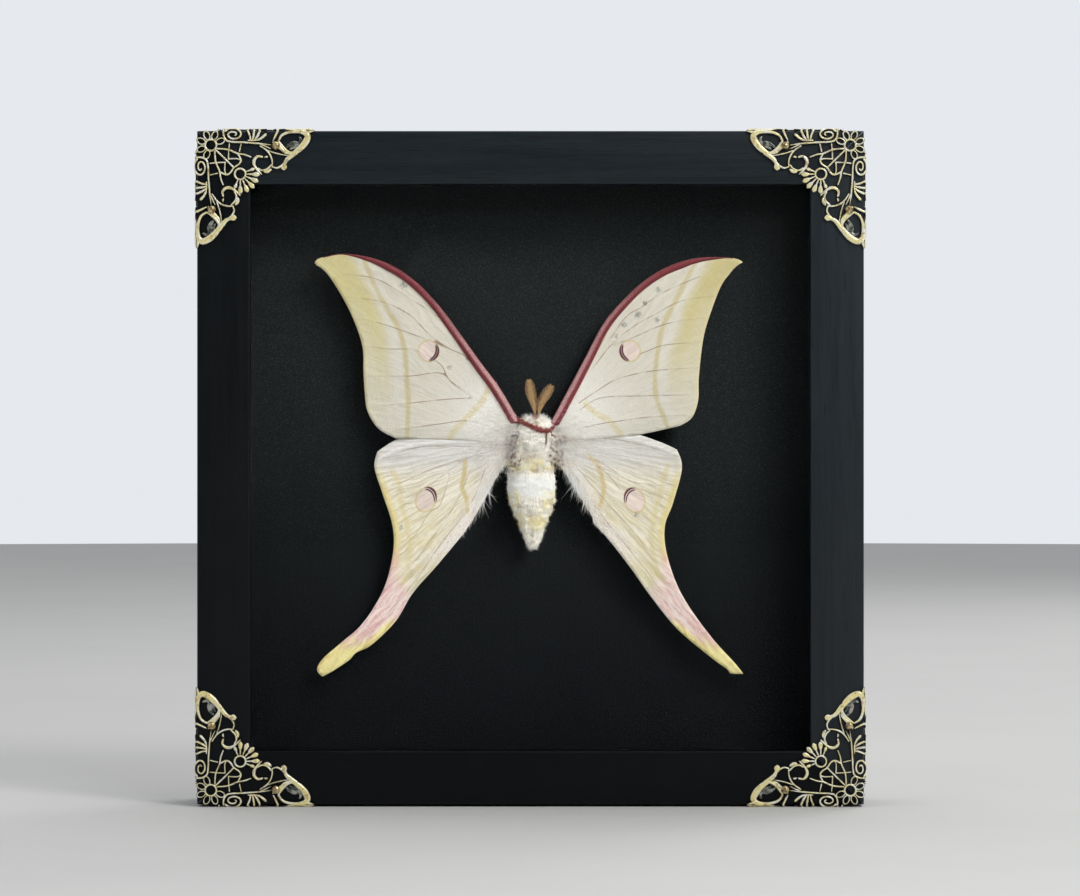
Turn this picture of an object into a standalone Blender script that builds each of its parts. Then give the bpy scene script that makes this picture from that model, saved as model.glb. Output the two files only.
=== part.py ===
# Framed moon moth: a shadow box with pierced brass corners and a spread moth behind glass.
# Metres, +Z up, the glazed front faces -Y, the box stands on its bottom edge at z = 0.
import math

import bmesh
import bpy
from mathutils import Vector
from mathutils.geometry import delaunay_2d_cdt

MM = 0.001
SHARP_ANGLE = math.radians(40)
WELD = 0.001 * MM
ROUND_SIDES = 10
HOLE_SIDES = 8
GLUE_SIDES = 12

# Driving sizes of the box
FRAME_WIDTH = 200 * MM
FRAME_HEIGHT = 202 * MM
FRAME_DEPTH = 27 * MM
RAIL_FACE = 16 * MM
WALL = 9 * MM
LIP = 4 * MM
EDGE_BREAK = 0.6 * MM
GAP = 0.3 * MM
GLASS = 2 * MM
SPACER_DEPTH = 12.5 * MM
SPACER_WIDTH = 3 * MM
BOARD = 2.5 * MM

# Brass corners and their tacks
SHEET = 0.4 * MM
TACK_ALONG = 23.7 * MM
TACK_IN = 4.5 * MM
TACK_HEAD_RADIUS = 1.25 * MM
TACK_HEAD_HEIGHT = 0.9 * MM
TACK_DOME_BREAK = math.radians(45)
TACK_SHANK_RADIUS = 0.5 * MM
TACK_SHANK_LENGTH = 6 * MM
TACK_PAD = 0.8
HOLE_CLEARANCE = 0.3 * MM

# Steel parts at the back
TAB_WIDTH = 8 * MM
TAB_LENGTH = 12 * MM
TAB_IN_WALL = 4 * MM
TAB_THICKNESS = 0.5 * MM
TAB_FROM_CENTRE = 50 * MM
HANGER_LENGTH = 42 * MM
HANGER_HEIGHT = 7 * MM
HANGER_THICKNESS = 0.7 * MM
HANGER_BOW = 1.2 * MM
HANGER_TEETH = 9
HANGER_TOOTH = 1.4 * MM
NAIL_FROM_END = 3.5 * MM
NAIL_HEAD_RADIUS = 1.6 * MM
NAIL_HEAD_HEIGHT = 0.5 * MM
NAIL_SHANK_RADIUS = 0.6 * MM
NAIL_SHANK_LENGTH = 6 * MM

# Depths behind the front face of the rails
GLASS_FRONT = LIP + GAP
GLASS_BACK = GLASS_FRONT + GLASS
SPACER_FRONT = GLASS_BACK + GAP
SPACER_BACK = SPACER_FRONT + SPACER_DEPTH
MOUNT_FRONT = SPACER_BACK + GAP
MOUNT_BACK = MOUNT_FRONT + BOARD
BACK_FRONT = MOUNT_BACK + GAP
BACK_BACK = BACK_FRONT + BOARD
TAB_FRONT = BACK_BACK + GAP
FRONT_REACH = GAP + SHEET + GAP + TACK_HEAD_HEIGHT
BACK_REACH = GAP + HANGER_THICKNESS + HANGER_BOW

# The box's outer faces in the part's own frame
FRONT = -(FRAME_DEPTH + FRONT_REACH + BACK_REACH) / 2 + FRONT_REACH
BOTTOM = GAP + SHEET
TOP = BOTTOM + FRAME_HEIGHT
MIDDLE = BOTTOM + FRAME_HEIGHT / 2
INNER_WIDTH = FRAME_WIDTH - 2 * WALL
INNER_HEIGHT = FRAME_HEIGHT - 2 * WALL

# The moth, in millimetres from the middle of its thorax: x to the right, z up
MOTH_X = 1.3 * MM
MOTH_Z = BOTTOM + 109.3 * MM
MOTH_HEIGHT = 6.9 * MM
WING_THICKNESS = 0.5
FOREWING_LIFT = 0.6
HINDWING_LIFT = -0.3
WING_CLEARANCE = 0.45
COSTA_RISE = 0.35
COSTA_WIDTH = 1.3

# Each row: z, left edge, right edge, half depth
BODY_SECTIONS = [
    (8.3, -1.3, 1.8, 0.9),
    (7.6, -3.4, 3.5, 2.4),
    (6.4, -4.7, 4.7, 3.4),
    (5.0, -4.7, 5.2, 3.7),
    (3.0, -6.0, 6.2, 4.4),
    (0.0, -6.6, 6.6, 4.8),
    (-3.0, -6.6, 6.0, 4.7),
    (-5.7, -7.4, 5.7, 4.4),
    (-9.1, -8.6, 6.2, 4.8),
    (-12.3, -8.6, 6.4, 5.0),
    (-15.2, -8.8, 6.5, 5.0),
    (-18.2, -7.9, 6.2, 4.8),
    (-20.8, -7.1, 5.7, 4.4),
    (-23.2, -6.0, 4.5, 3.8),
    (-26.2, -4.8, 3.4, 3.1),
    (-29.2, -3.6, 2.4, 2.3),
    (-31.6, -2.7, 1.5, 1.5),
    (-33.2, -1.5, 0.3, 0.7),
]

# Wing margins, each stretch from its first to its last point
LEFT_FOREWING = {
    "leading": [(-5.0, 6.3), (-10.6, 15.8), (-16.7, 24.0), (-22.8, 32.5), (-28.8, 40.5), (-34.9, 47.0),
                (-41.0, 51.7), (-47.0, 54.5), (-53.1, 56.0), (-58.6, 56.5), (-62.8, 55.8), (-66.8, 53.9)],
    "outer": [(-66.8, 53.9), (-61.6, 48.3), (-56.1, 39.0), (-52.4, 28.8), (-52.0, 20.9), (-51.6, 14.3),
              (-50.8, 8.8), (-47.5, 3.5), (-42.2, 0.5)],
    "inner": [(-42.2, 0.5), (-28.8, 0.2), (-16.7, -0.3), (-7.4, -0.6)],
}
RIGHT_FOREWING = {
    "leading": [(5.0, 6.0), (8.3, 12.1), (13.9, 24.3), (19.7, 35.7), (25.8, 42.5), (31.9, 47.6),
                (37.9, 51.4), (44.0, 54.0), (50.1, 55.3), (57.7, 55.4), (63.1, 54.0)],
    "outer": [(63.1, 54.0), (59.2, 48.9), (53.4, 38.9), (51.1, 30.9), (49.7, 19.2), (49.5, 12.1),
              (47.6, 6.8), (44.0, 4.3)],
    "inner": [(44.0, 4.3), (31.4, 1.6), (19.7, 0.5), (7.4, 0.2)],
}
LEFT_HINDWING = {
    "leading": [(-7.4, -1.4), (-16.7, 1.2), (-31.9, 1.8), (-44.0, -0.9), (-47.8, -3.5)],
    "outer": [(-47.8, -3.5), (-48.7, -8.2), (-46.3, -16.1), (-43.4, -25.2), (-42.9, -32.8), (-44.9, -42.5),
              (-48.3, -49.8), (-53.1, -56.5), (-59.2, -61.8), (-64.6, -66.6), (-66.2, -69.8), (-64.6, -71.9)],
    "inner": [(-64.6, -71.9), (-61.6, -70.3), (-56.5, -66.9), (-49.5, -62.1), (-42.2, -54.9), (-37.0, -46.4),
              (-28.8, -37.0), (-20.3, -26.4), (-13.7, -15.2), (-10.0, -7.9), (-7.9, -4.0)],
}
RIGHT_HINDWING = {
    "leading": [(7.4, -1.4), (16.7, 1.7), (31.0, 1.6), (38.8, -0.9), (43.1, -2.9)],
    "outer": [(43.1, -2.9), (44.6, -8.5), (41.9, -19.1), (39.5, -25.8), (39.8, -33.4), (42.8, -43.1),
              (47.3, -51.3), (54.3, -60.7), (60.7, -67.7), (63.3, -71.0)],
    "inner": [(63.3, -71.0), (59.5, -70.9), (53.7, -66.2), (43.4, -57.5), (35.8, -48.3), (28.8, -38.5),
              (22.2, -30.0), (17.1, -22.8), (12.1, -14.9), (8.5, -9.0), (6.9, -4.0)],
}
LEFT_ANTENNA = [(-0.5, 8.9), (-1.5, 9.6), (-2.4, 12.1), (-2.4, 15.2), (-1.8, 18.1), (-0.3, 16.2), (0.7, 13.4),
                (0.5, 10.4)]
RIGHT_ANTENNA = [(1.6, 8.9), (1.3, 10.6), (1.6, 13.2), (2.6, 15.5), (4.2, 16.7), (5.2, 16.0), (4.7, 13.9),
                 (3.3, 11.2)]
ANTENNA_THICKNESS = 0.7
ANTENNA_LIFT = 1.2
ANTENNA_SPACING = 1.4

# Legs folded under the thorax: x, lift and height above the root of each joint, and the radius there
LEG_ROOTS = [3.2, 0.2, -2.8]
LEG_JOINTS = [(3.0, -3.0, 0.0, 0.42), (5.4, -4.6, 1.4, 0.315), (3.4, -5.9, -1.6, 0.21)]
LEG_SIDES = 5
BODY_SIDES = 16

# Drop of glue under the thorax
GLUE_Z = -5.5 * MM
GLUE_RADII = (1.9 * MM, 1.7 * MM, 1.2 * MM)
THORAX_HALF_DEPTH = 4.8 * MM

# Waves of the dried wings: height, and how fast the wave runs along x and z
WING_WAVES = [(0.22, 0.16, 0.05), (0.16, -0.07, 0.21)]
WAVE_START = 12.0
TAIL_START = 30.0
TAIL_LENGTH = 42.0
TAIL_DROP = 1.6
TAIL_BEND = 1.5
RIB_FADE_END = 60.0
RIB_FADE = 20.0

# Spacing of the points on the wings
MARGIN_SPACING = 4.0
SURFACE_SPACING = 7.0
SURFACE_MARGIN = 3.0

# Stamped corner, in millimetres from the box's outer corner along one arm and in from the edge
FLOWER = (4.2, 4.2)
SHELL = (13.0, 13.0)
SCROLL = (19.8, 9.6)
SPIRAL = (10.6, 1.0)
SPIRAL_RADIUS = 2.0
SPIRAL_STRETCH = 1.3
STROKE = 0.9
FINE_STROKE = 0.75
STROKE_OVERLAP = 0.3
FLOWER_RADIUS = 1.7
PETALS = 6
PETAL_REACH = 3.2
PETAL_RADIUS = 0.85
PETAL_STRETCH = 1.6
FIRST_PETAL = math.radians(15)
MIDDLE_STEM = [(5.5, 5.5), (11.8, 11.8)]
SHELL_RADIUS = 1.7
SHELL_STROKE = 0.7
SHELL_RAYS = 7
SHELL_RAY_STEP = math.radians(33)
LONG_RAYS = (2, 3, 4)
LONG_RAY = 5.0
SHORT_RAY = 3.9
RAY_ROOT = 1.8
RAY_TIP_RADIUS = 0.8
RAY_TIP_STRETCH = 1.3
SCROLL_RADIUS = 2.6
SCROLL_START = math.radians(-60)
SCROLL_SWEEP = math.radians(-270)
SCROLL_STEPS = 6
ARM_STROKES = [
    ("stem", 1.0, [(7.9, 0.6), (8.8, 3.1), (19.0, 3.9), (22.5, 4.3)]),
    ("leaf one", 0.9, [(16.0, 3.4), (15.6, 0.0)]),
]
FRONT_STROKES = [
    ("branch", 0.8, [(19.0, 4.4), (21.9, 7.0), (22.7, 10.6), (25.4, 10.4)]),
    ("twig", 0.75, [(21.2, 6.0), (24.4, 7.0), (27.6, 7.2)]),
    ("spoke", 0.75, [(6.0, 4.9), (9.5, 5.8), (13.0, 7.0), (17.0, 8.2)]),
    ("outer web", 0.8, [(12.6, 6.8), (13.3, 8.9), (11.2, 11.4)]),
    ("inner web", 0.7, [(9.5, 3.4), (9.4, 5.9), (9.3, 9.2)]),
    ("leaf two", 0.9, [(16.5, 3.4), (18.3, 0.0)]),
    ("short leaf", 0.9, [(22.6, 3.6), (24.0, 0.0)]),
]
TEARDROP = [(25.2, 3.3), (26.6, 1.0), (30.0, 0.35), (33.4, 0.9), (32.9, 3.2), (31.0, 5.6), (28.4, 6.9),
            (26.2, 5.4)]
TEARDROP_STROKE = 1.3
TIP = [(31.5, 0.0), (35.2, -0.2), (33.4, 2.9), (32.2, 2.2)]
BULB_LINE = [(28.6, 7.1), (26.5, 9.6), (25.3, 10.5)]
BULB_STROKE = 1.4
BULB = ((25.9, 10.6), 1.1)
SCROLL_BEAD = ((20.7, 12.5), 0.8, 1.5, math.radians(-15))
BEAD_SIDES = 6
RING_SIDES = 10
SMALL_RING_SIDES = 8
SIDE_BAR = [(22.0, 4.2), (25.4, 3.9)]
SIDE_EDGE = [(6.6, 0.6), (6.6, 7.4), (10.4, 12.8), (16.0, 15.0), (22.0, 12.8), (28.4, 6.9)]
FRONT_TOLERANCE = 0.28
SIDE_TOLERANCE = 0.6
SMALLEST_FRONT_OPENING = 1.0
SMALLEST_SIDE_OPENING = 5.0
FOLD_MARGIN = 0.5
CORNER_MARGIN = 0.1
OVERLAP_MERGE = 1e-4
POINT_MERGE = 1e-5


def material(name, color, roughness, metallic=0.0):
    mat = bpy.data.materials.new(name)
    mat.use_nodes = True
    shader = mat.node_tree.nodes["Principled BSDF"]
    shader.inputs["Base Color"].default_value = (*color, 1.0)
    shader.inputs["Roughness"].default_value = roughness
    shader.inputs["Metallic"].default_value = metallic
    return mat


def add_object(name, bm, mat, smooth=False):
    bmesh.ops.remove_doubles(bm, verts=bm.verts, dist=WELD)
    bmesh.ops.recalc_face_normals(bm, faces=bm.faces)
    mesh = bpy.data.meshes.new(name)
    bm.to_mesh(mesh)
    bm.free()
    mesh.materials.append(mat)
    if smooth:
        mesh.shade_smooth()
        mesh.set_sharp_from_angle(angle=SHARP_ANGLE)
    obj = bpy.data.objects.new(name, mesh)
    bpy.context.scene.collection.objects.link(obj)
    return obj


def add_box(bm, low, high):
    corners = [bm.verts.new((x, y, z)) for x in (low[0], high[0])
               for y in (low[1], high[1]) for z in (low[2], high[2])]
    for face in ((0, 1, 3, 2), (4, 6, 7, 5), (0, 4, 5, 1), (2, 3, 7, 6), (0, 2, 6, 4), (1, 5, 7, 3)):
        bm.faces.new([corners[i] for i in face])


def turned(bm, profile, centre, segments=ROUND_SIDES):
    """Turn a profile of (radius, y) points about a line along Y through centre."""
    rings = []
    for radius, y in profile:
        if radius == 0:
            rings.append([bm.verts.new((centre[0], y, centre[2]))])
            continue
        turn = [2 * math.pi * k / segments for k in range(segments)]
        rings.append([bm.verts.new((centre[0] + radius * math.cos(t), y, centre[2] + radius * math.sin(t)))
                      for t in turn])
    for low, high in zip(rings, rings[1:]):
        for k in range(segments):
            near = (k + 1) % segments
            loop = [low[k % len(low)], low[near % len(low)], high[near % len(high)], high[k % len(high)]]
            bm.faces.new(list(dict.fromkeys(loop)))


def cut(obj, cutter):
    cutter.hide_render = True
    cutter.display_type = "WIRE"
    hole = obj.modifiers.new(cutter.name, "BOOLEAN")
    hole.operation = "DIFFERENCE"
    hole.solver = "EXACT"
    hole.object = cutter


def smooth_line(points, spacing):
    """Points along a Catmull-Rom curve through the given points, about one spacing apart."""
    line = []
    padded = [points[0]] + list(points) + [points[-1]]
    for p0, p1, p2, p3 in zip(padded, padded[1:], padded[2:], padded[3:]):
        steps = max(1, round(math.dist(p1, p2) / spacing))
        for k in range(steps):
            t = k / steps
            spot = []
            for a, b, c, d in zip(p0, p1, p2, p3):
                square = (2 * a - 5 * b + 4 * c - d) * t ** 2
                cube = (3 * b - a - 3 * c + d) * t ** 3
                spot.append(0.5 * (2 * b + (c - a) * t + square + cube))
            line.append(tuple(spot))
    line.append(points[-1])
    return line


def rail(name, side, mat):
    """One mitred rail of L section: a lip in front of the glass and a wall around the box."""
    along_x = side in ("top", "bottom")
    half_length = (FRAME_WIDTH if along_x else FRAME_HEIGHT) / 2
    half_other = (FRAME_HEIGHT if along_x else FRAME_WIDTH) / 2
    sign = 1 if side in ("top", "right") else -1
    mitre_gap = GAP / math.sqrt(2)
    profile = [(EDGE_BREAK, 0), (RAIL_FACE - EDGE_BREAK, 0), (RAIL_FACE, EDGE_BREAK), (RAIL_FACE, LIP),
               (WALL, LIP), (WALL, FRAME_DEPTH), (EDGE_BREAK, FRAME_DEPTH), (0, FRAME_DEPTH - EDGE_BREAK),
               (0, EDGE_BREAK)]
    bm = bmesh.new()
    ends = []
    for end in (-1, 1):
        ring = []
        for inward, depth in profile:
            along = end * (half_length - inward - mitre_gap)
            across = sign * (half_other - inward)
            x, z = (along, across) if along_x else (across, along)
            ring.append(bm.verts.new((x, FRONT + depth, MIDDLE + z)))
        bm.faces.new(ring)
        ends.append(ring)
    for k in range(len(profile)):
        near = (k + 1) % len(profile)
        bm.faces.new([ends[0][k], ends[0][near], ends[1][near], ends[1][k]])
    return add_object(name, bm, mat)


def build_rails():
    wood = material("black_wood", (0.02, 0.022, 0.026), 0.45)
    rails = {side: rail(f"frame_rail_{side}", side, wood) for side in ("top", "bottom", "left", "right")}
    for side, obj in rails.items():
        cut(obj, rail_holes(side))
    return rails


def rail_holes(side):
    """Every drilled hole and slot of one rail, as one cutter."""
    bm = bmesh.new()
    hole_radius = TACK_SHANK_RADIUS + HOLE_CLEARANCE
    for x, z, owner in tack_places():
        if owner == side:
            depth = TACK_SHANK_LENGTH + HOLE_CLEARANCE
            turned(bm, [(0, FRONT - WALL), (hole_radius, FRONT - WALL), (hole_radius, FRONT + depth),
                        (0, FRONT + depth)], (x, 0, z), HOLE_SIDES)
    for low, high, owner in tab_boxes(HOLE_CLEARANCE):
        if owner == side:
            add_box(bm, low, high)
    if side == "top":
        back = FRONT + FRAME_DEPTH
        nail_radius = NAIL_SHANK_RADIUS + HOLE_CLEARANCE
        for x, z in nail_places():
            turned(bm, [(0, back - NAIL_SHANK_LENGTH), (nail_radius, back - NAIL_SHANK_LENGTH),
                        (nail_radius, back + WALL), (0, back + WALL)], (x, 0, z), HOLE_SIDES)
    return add_object(f"holes_{side}", bm, bpy.data.materials["black_wood"])


def tack_places():
    """Centre of each tack and the rail that it is driven into."""
    for sx in (-1, 1):
        for sz in (-1, 1):
            x_edge = sx * FRAME_WIDTH / 2
            z_edge = MIDDLE + sz * FRAME_HEIGHT / 2
            yield x_edge - sx * TACK_ALONG, z_edge - sz * TACK_IN, "top" if sz > 0 else "bottom"
            yield x_edge - sx * TACK_IN, z_edge - sz * TACK_ALONG, "right" if sx > 0 else "left"


def tab_boxes(clearance):
    """Low corner, high corner and rail of each retaining tab, grown by a clearance."""
    y0 = FRONT + TAB_FRONT - clearance
    y1 = FRONT + TAB_FRONT + TAB_THICKNESS + clearance
    half = TAB_WIDTH / 2 + clearance
    for offset in (-TAB_FROM_CENTRE, TAB_FROM_CENTRE):
        for sign, side in ((-1, "left"), (1, "right")):
            outer = sign * (INNER_WIDTH / 2 + TAB_IN_WALL + clearance)
            inner = sign * (INNER_WIDTH / 2 + TAB_IN_WALL - TAB_LENGTH)
            low, high = sorted((outer, inner))
            yield (low, y0, MIDDLE + offset - half), (high, y1, MIDDLE + offset + half), side
        for sign, side in ((-1, "bottom"), (1, "top")):
            outer = MIDDLE + sign * (INNER_HEIGHT / 2 + TAB_IN_WALL + clearance)
            inner = MIDDLE + sign * (INNER_HEIGHT / 2 + TAB_IN_WALL - TAB_LENGTH)
            low, high = sorted((outer, inner))
            yield (offset - half, y0, low), (offset + half, y1, high), side


def nail_places():
    z = TOP - WALL / 2
    for sign in (-1, 1):
        yield sign * (HANGER_LENGTH / 2 - NAIL_FROM_END), z


def build_glazing_and_boards():
    glass = material("clear_glass", (0.9, 0.95, 0.93), 0.02)
    black = material("black_card", (0.015, 0.015, 0.016), 0.8)
    felt = material("black_felt", (0.01, 0.01, 0.011), 0.95)
    hardboard = material("hardboard", (0.3, 0.19, 0.11), 0.8)
    half_width = INNER_WIDTH / 2 - GAP
    half_height = INNER_HEIGHT / 2 - GAP
    sheets = [("glass_pane", GLASS_FRONT, GLASS_BACK, glass), ("mount_board", MOUNT_FRONT, MOUNT_BACK, felt),
              ("back_board", BACK_FRONT, BACK_BACK, hardboard)]
    for name, front, back, mat in sheets:
        bm = bmesh.new()
        add_box(bm, (-half_width, FRONT + front, MIDDLE - half_height),
                (half_width, FRONT + back, MIDDLE + half_height))
        add_object(name, bm, mat)
    inner_x = half_width - SPACER_WIDTH
    inner_z = half_height - SPACER_WIDTH
    strips = {
        "top": ((-half_width, inner_z), (half_width, half_height)),
        "bottom": ((-half_width, -half_height), (half_width, -inner_z)),
        "left": ((-half_width, -inner_z + GAP), (-inner_x, inner_z - GAP)),
        "right": ((inner_x, -inner_z + GAP), (half_width, inner_z - GAP)),
    }
    for side, ((x0, z0), (x1, z1)) in strips.items():
        bm = bmesh.new()
        add_box(bm, (x0, FRONT + SPACER_FRONT, MIDDLE + z0), (x1, FRONT + SPACER_BACK, MIDDLE + z1))
        add_object(f"spacer_{side}", bm, black)


def build_tabs():
    steel = material("zinc_steel", (0.55, 0.55, 0.53), 0.35, 1.0)
    for number, (low, high, side) in enumerate(tab_boxes(0.0), start=1):
        bm = bmesh.new()
        add_box(bm, low, high)
        add_object(f"retaining_tab_{number}_{side}", bm, steel)


def build_hanger():
    """A bowed strip with a row of teeth along its lower edge and a nail through each end."""
    steel = bpy.data.materials["zinc_steel"]
    back = FRONT + FRAME_DEPTH + GAP
    top = TOP - WALL / 2 + HANGER_HEIGHT / 2 - HANGER_TOOTH / 2
    half = HANGER_LENGTH / 2
    flat_end = 2 * NAIL_FROM_END
    tooth_span = (HANGER_LENGTH - 2 * flat_end) / HANGER_TEETH
    lower = [(-half, 0.0), (-half + flat_end, 0.0)]
    for k in range(HANGER_TEETH):
        lower.append((-half + flat_end + (k + 0.5) * tooth_span, HANGER_TOOTH))
        lower.append((-half + flat_end + (k + 1) * tooth_span, 0.0))
    lower.append((half, 0.0))
    bm = bmesh.new()
    columns = []
    for x, rise in lower:
        bow = HANGER_BOW * max(0.0, 1 - (x / (half - flat_end)) ** 2) ** 0.5
        columns.append([bm.verts.new((x, back + bow + dy, z)) for dy, z in (
            (0.0, top - HANGER_HEIGHT + rise), (HANGER_THICKNESS, top - HANGER_HEIGHT + rise),
            (HANGER_THICKNESS, top), (0.0, top))])
    bm.faces.new(columns[0])
    bm.faces.new(columns[-1])
    for left, right in zip(columns, columns[1:]):
        for k in range(4):
            bm.faces.new([left[k], left[(k + 1) % 4], right[(k + 1) % 4], right[k]])
    hanger = add_object("sawtooth_hanger", bm, steel)
    holes = bmesh.new()
    hole_radius = NAIL_SHANK_RADIUS + HOLE_CLEARANCE
    for x, z in nail_places():
        turned(holes, [(0, back - GAP), (hole_radius, back - GAP), (hole_radius, back + 2 * HANGER_THICKNESS),
                       (0, back + 2 * HANGER_THICKNESS)], (x, 0, z), HOLE_SIDES)
    cut(hanger, add_object("hanger_holes", holes, steel))
    build_hanger_nails(back + HANGER_THICKNESS + GAP, steel)


def build_hanger_nails(head, steel):
    tip = FRONT + FRAME_DEPTH - NAIL_SHANK_LENGTH + GAP
    for number, (x, z) in enumerate(nail_places(), start=1):
        bm = bmesh.new()
        turned(bm, [(0, tip), (NAIL_SHANK_RADIUS, tip + NAIL_SHANK_RADIUS * 2), (NAIL_SHANK_RADIUS, head),
                    (NAIL_HEAD_RADIUS, head), (NAIL_HEAD_RADIUS, head + NAIL_HEAD_HEIGHT),
                    (0, head + NAIL_HEAD_HEIGHT)], (x, 0, z))
        add_object(f"hanger_nail_{number}", bm, steel, smooth=True)


def stroke_quads(points, width, closed=False):
    """Overlapping four-sided pieces that cover a line of the given width."""
    quads = []
    pairs = list(zip(points, points[1:] + points[:1])) if closed else list(zip(points, points[1:]))
    for (x0, y0), (x1, y1) in pairs:
        length = math.hypot(x1 - x0, y1 - y0)
        ux, uy = (x1 - x0) / length, (y1 - y0) / length
        nx, ny = -uy * width / 2, ux * width / 2
        ex, ey = ux * width * STROKE_OVERLAP, uy * width * STROKE_OVERLAP
        quads.append([(x0 + nx - ex, y0 + ny - ey), (x0 - nx - ex, y0 - ny - ey),
                      (x1 - nx + ex, y1 - ny + ey), (x1 + nx + ex, y1 + ny + ey)])
    return quads


def disc(centre, radius, sides, stretch=1.0, angle=0.0):
    turn = [2 * math.pi * k / sides for k in range(sides)]
    c, s = math.cos(angle), math.sin(angle)
    spots = [(radius * stretch * math.cos(t), radius * math.sin(t)) for t in turn]
    return [(centre[0] + x * c - y * s, centre[1] + x * s + y * c) for x, y in spots]


def arm_pieces(front):
    """One arm of the corner, in millimetres, along the first axis; the sides of the box get a plainer one."""
    pieces = []
    for _, width, points in ARM_STROKES + (FRONT_STROKES if front else []):
        pieces += stroke_quads(points, width)
    spiral = disc(SPIRAL, SPIRAL_RADIUS, SMALL_RING_SIDES, SPIRAL_STRETCH)
    pieces += stroke_quads(spiral, STROKE, closed=True)
    pieces += stroke_quads(TEARDROP, TEARDROP_STROKE, closed=True)
    pieces.append(TIP)
    if not front:
        return pieces + stroke_quads(SIDE_EDGE, STROKE) + stroke_quads(SIDE_BAR, STROKE)
    turns = [SCROLL_START + SCROLL_SWEEP * k / SCROLL_STEPS for k in range(SCROLL_STEPS + 1)]
    scroll = [(SCROLL[0] + SCROLL_RADIUS * math.cos(t), SCROLL[1] + SCROLL_RADIUS * math.sin(t))
              for t in turns]
    pieces += stroke_quads(scroll, STROKE)
    pieces += stroke_quads(BULB_LINE, BULB_STROKE)
    centre, radius, stretch, angle = SCROLL_BEAD
    pieces.append(disc(centre, radius, BEAD_SIDES, stretch, angle))
    pieces.append(disc(*BULB, BEAD_SIDES))
    ring_radius = (TACK_SHANK_RADIUS + HOLE_CLEARANCE) / MM + TACK_PAD / 2
    tack_ring = disc((TACK_ALONG / MM, TACK_IN / MM), ring_radius, SMALL_RING_SIDES)
    pieces += stroke_quads(tack_ring, TACK_PAD, closed=True)
    return pieces


def middle_pieces():
    """The flower and the shell on the corner's diagonal."""
    pieces = stroke_quads(disc(FLOWER, FLOWER_RADIUS, RING_SIDES), STROKE, closed=True)
    for k in range(PETALS):
        angle = FIRST_PETAL + 2 * math.pi * k / PETALS
        petal = (FLOWER[0] + PETAL_REACH * math.cos(angle), FLOWER[1] + PETAL_REACH * math.sin(angle))
        pieces.append(disc(petal, PETAL_RADIUS, BEAD_SIDES, PETAL_STRETCH, angle))
    pieces += stroke_quads(MIDDLE_STEM, FINE_STROKE)
    pieces += stroke_quads(disc(SHELL, SHELL_RADIUS, RING_SIDES), SHELL_STROKE, closed=True)
    for k in range(SHELL_RAYS):
        angle = math.pi / 4 + SHELL_RAY_STEP * (k - SHELL_RAYS // 2)
        reach = LONG_RAY if k in LONG_RAYS else SHORT_RAY
        tip = (SHELL[0] + reach * math.cos(angle), SHELL[1] + reach * math.sin(angle))
        root = (SHELL[0] + RAY_ROOT * math.cos(angle), SHELL[1] + RAY_ROOT * math.sin(angle))
        pieces += stroke_quads([root, tip], FINE_STROKE)
        if k in LONG_RAYS:
            pieces.append(disc(tip, RAY_TIP_RADIUS, BEAD_SIDES, RAY_TIP_STRETCH, angle))
    return pieces


def corner_pieces():
    """The whole flat pattern: two arms, each mirrored over the fold, and the middle."""
    flat = middle_pieces()
    for mirror_fold in (1, -1):
        for piece in arm_pieces(mirror_fold > 0):
            flat.append([(a, mirror_fold * b) for a, b in piece])
            flat.append([(mirror_fold * b, a) for a, b in piece])
    return [piece for piece in flat if not any(max(a, b) < CORNER_MARGIN for a, b in piece)]


def fold(u, v, height):
    """Bend the flat pattern round the box's two outer edges, at a height out from the sheet's middle."""
    bend = (GAP + SHEET / 2) / MM
    arc = bend * math.pi / 2

    def over(length):
        radius = bend + height
        if length >= 0:
            return length, -radius
        angle = min(-length / bend, math.pi / 2)
        past_arc = max(0.0, -length - arc)
        return -radius * math.sin(angle), past_arc - radius * math.cos(angle)

    if u < 0:
        a, y = over(u)
        return a, y, v
    b, y = over(v)
    return u, y, b


def area(loop):
    return sum(x0 * y1 - x1 * y0 for (x0, y0), (x1, y1) in zip(loop, loop[1:] + loop[:1])) / 2


def covered_loops(pieces):
    """The outline and the openings of the region that the pieces cover together."""
    points, faces = [], []
    for piece in pieces:
        piece = piece if area(piece) > 0 else piece[::-1]
        faces.append(list(range(len(points), len(points) + len(piece))))
        points += [Vector(p) for p in piece]
    spots, _, parts, _, _, owners = delaunay_2d_cdt(points, [], faces, 1, OVERLAP_MERGE)
    following = {}
    for part, owner in zip(parts, owners):
        if owner:
            for i, j in zip(part, part[1:] + part[:1]):
                following[(i, j)] = j
    rim = {i: j for (i, j) in following if (j, i) not in following}
    loops = []
    while rim:
        first, spot = rim.popitem()
        loop = [first]
        while spot != first:
            loop.append(spot)
            spot = rim.pop(spot)
        loops.append([tuple(spots[i]) for i in loop])
    return loops


def thinned(loop):
    """Drop, flattest first, each point that lies close to the line between its neighbours."""
    loop = list(loop)
    while len(loop) > 4:
        flattest, least = None, 1.0
        for k, (x, y) in enumerate(loop):
            (x0, y0), (x1, y1) = loop[k - 1], loop[(k + 1) % len(loop)]
            chord = math.hypot(x1 - x0, y1 - y0)
            away = abs((x - x0) * (y1 - y0) - (y - y0) * (x1 - x0)) / max(chord, POINT_MERGE)
            away /= FRONT_TOLERANCE if min(x, y) > 0 else SIDE_TOLERANCE
            if away < least:
                flattest, least = k, away
        if flattest is None:
            break
        loop.pop(flattest)
    return loop


def smallest_opening(loop):
    middle_a = sum(a for a, _ in loop) / len(loop)
    middle_b = sum(b for _, b in loop) / len(loop)
    on_front = min(middle_a, middle_b) > -FOLD_MARGIN
    return SMALLEST_FRONT_OPENING if on_front else SMALLEST_SIDE_OPENING


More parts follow.
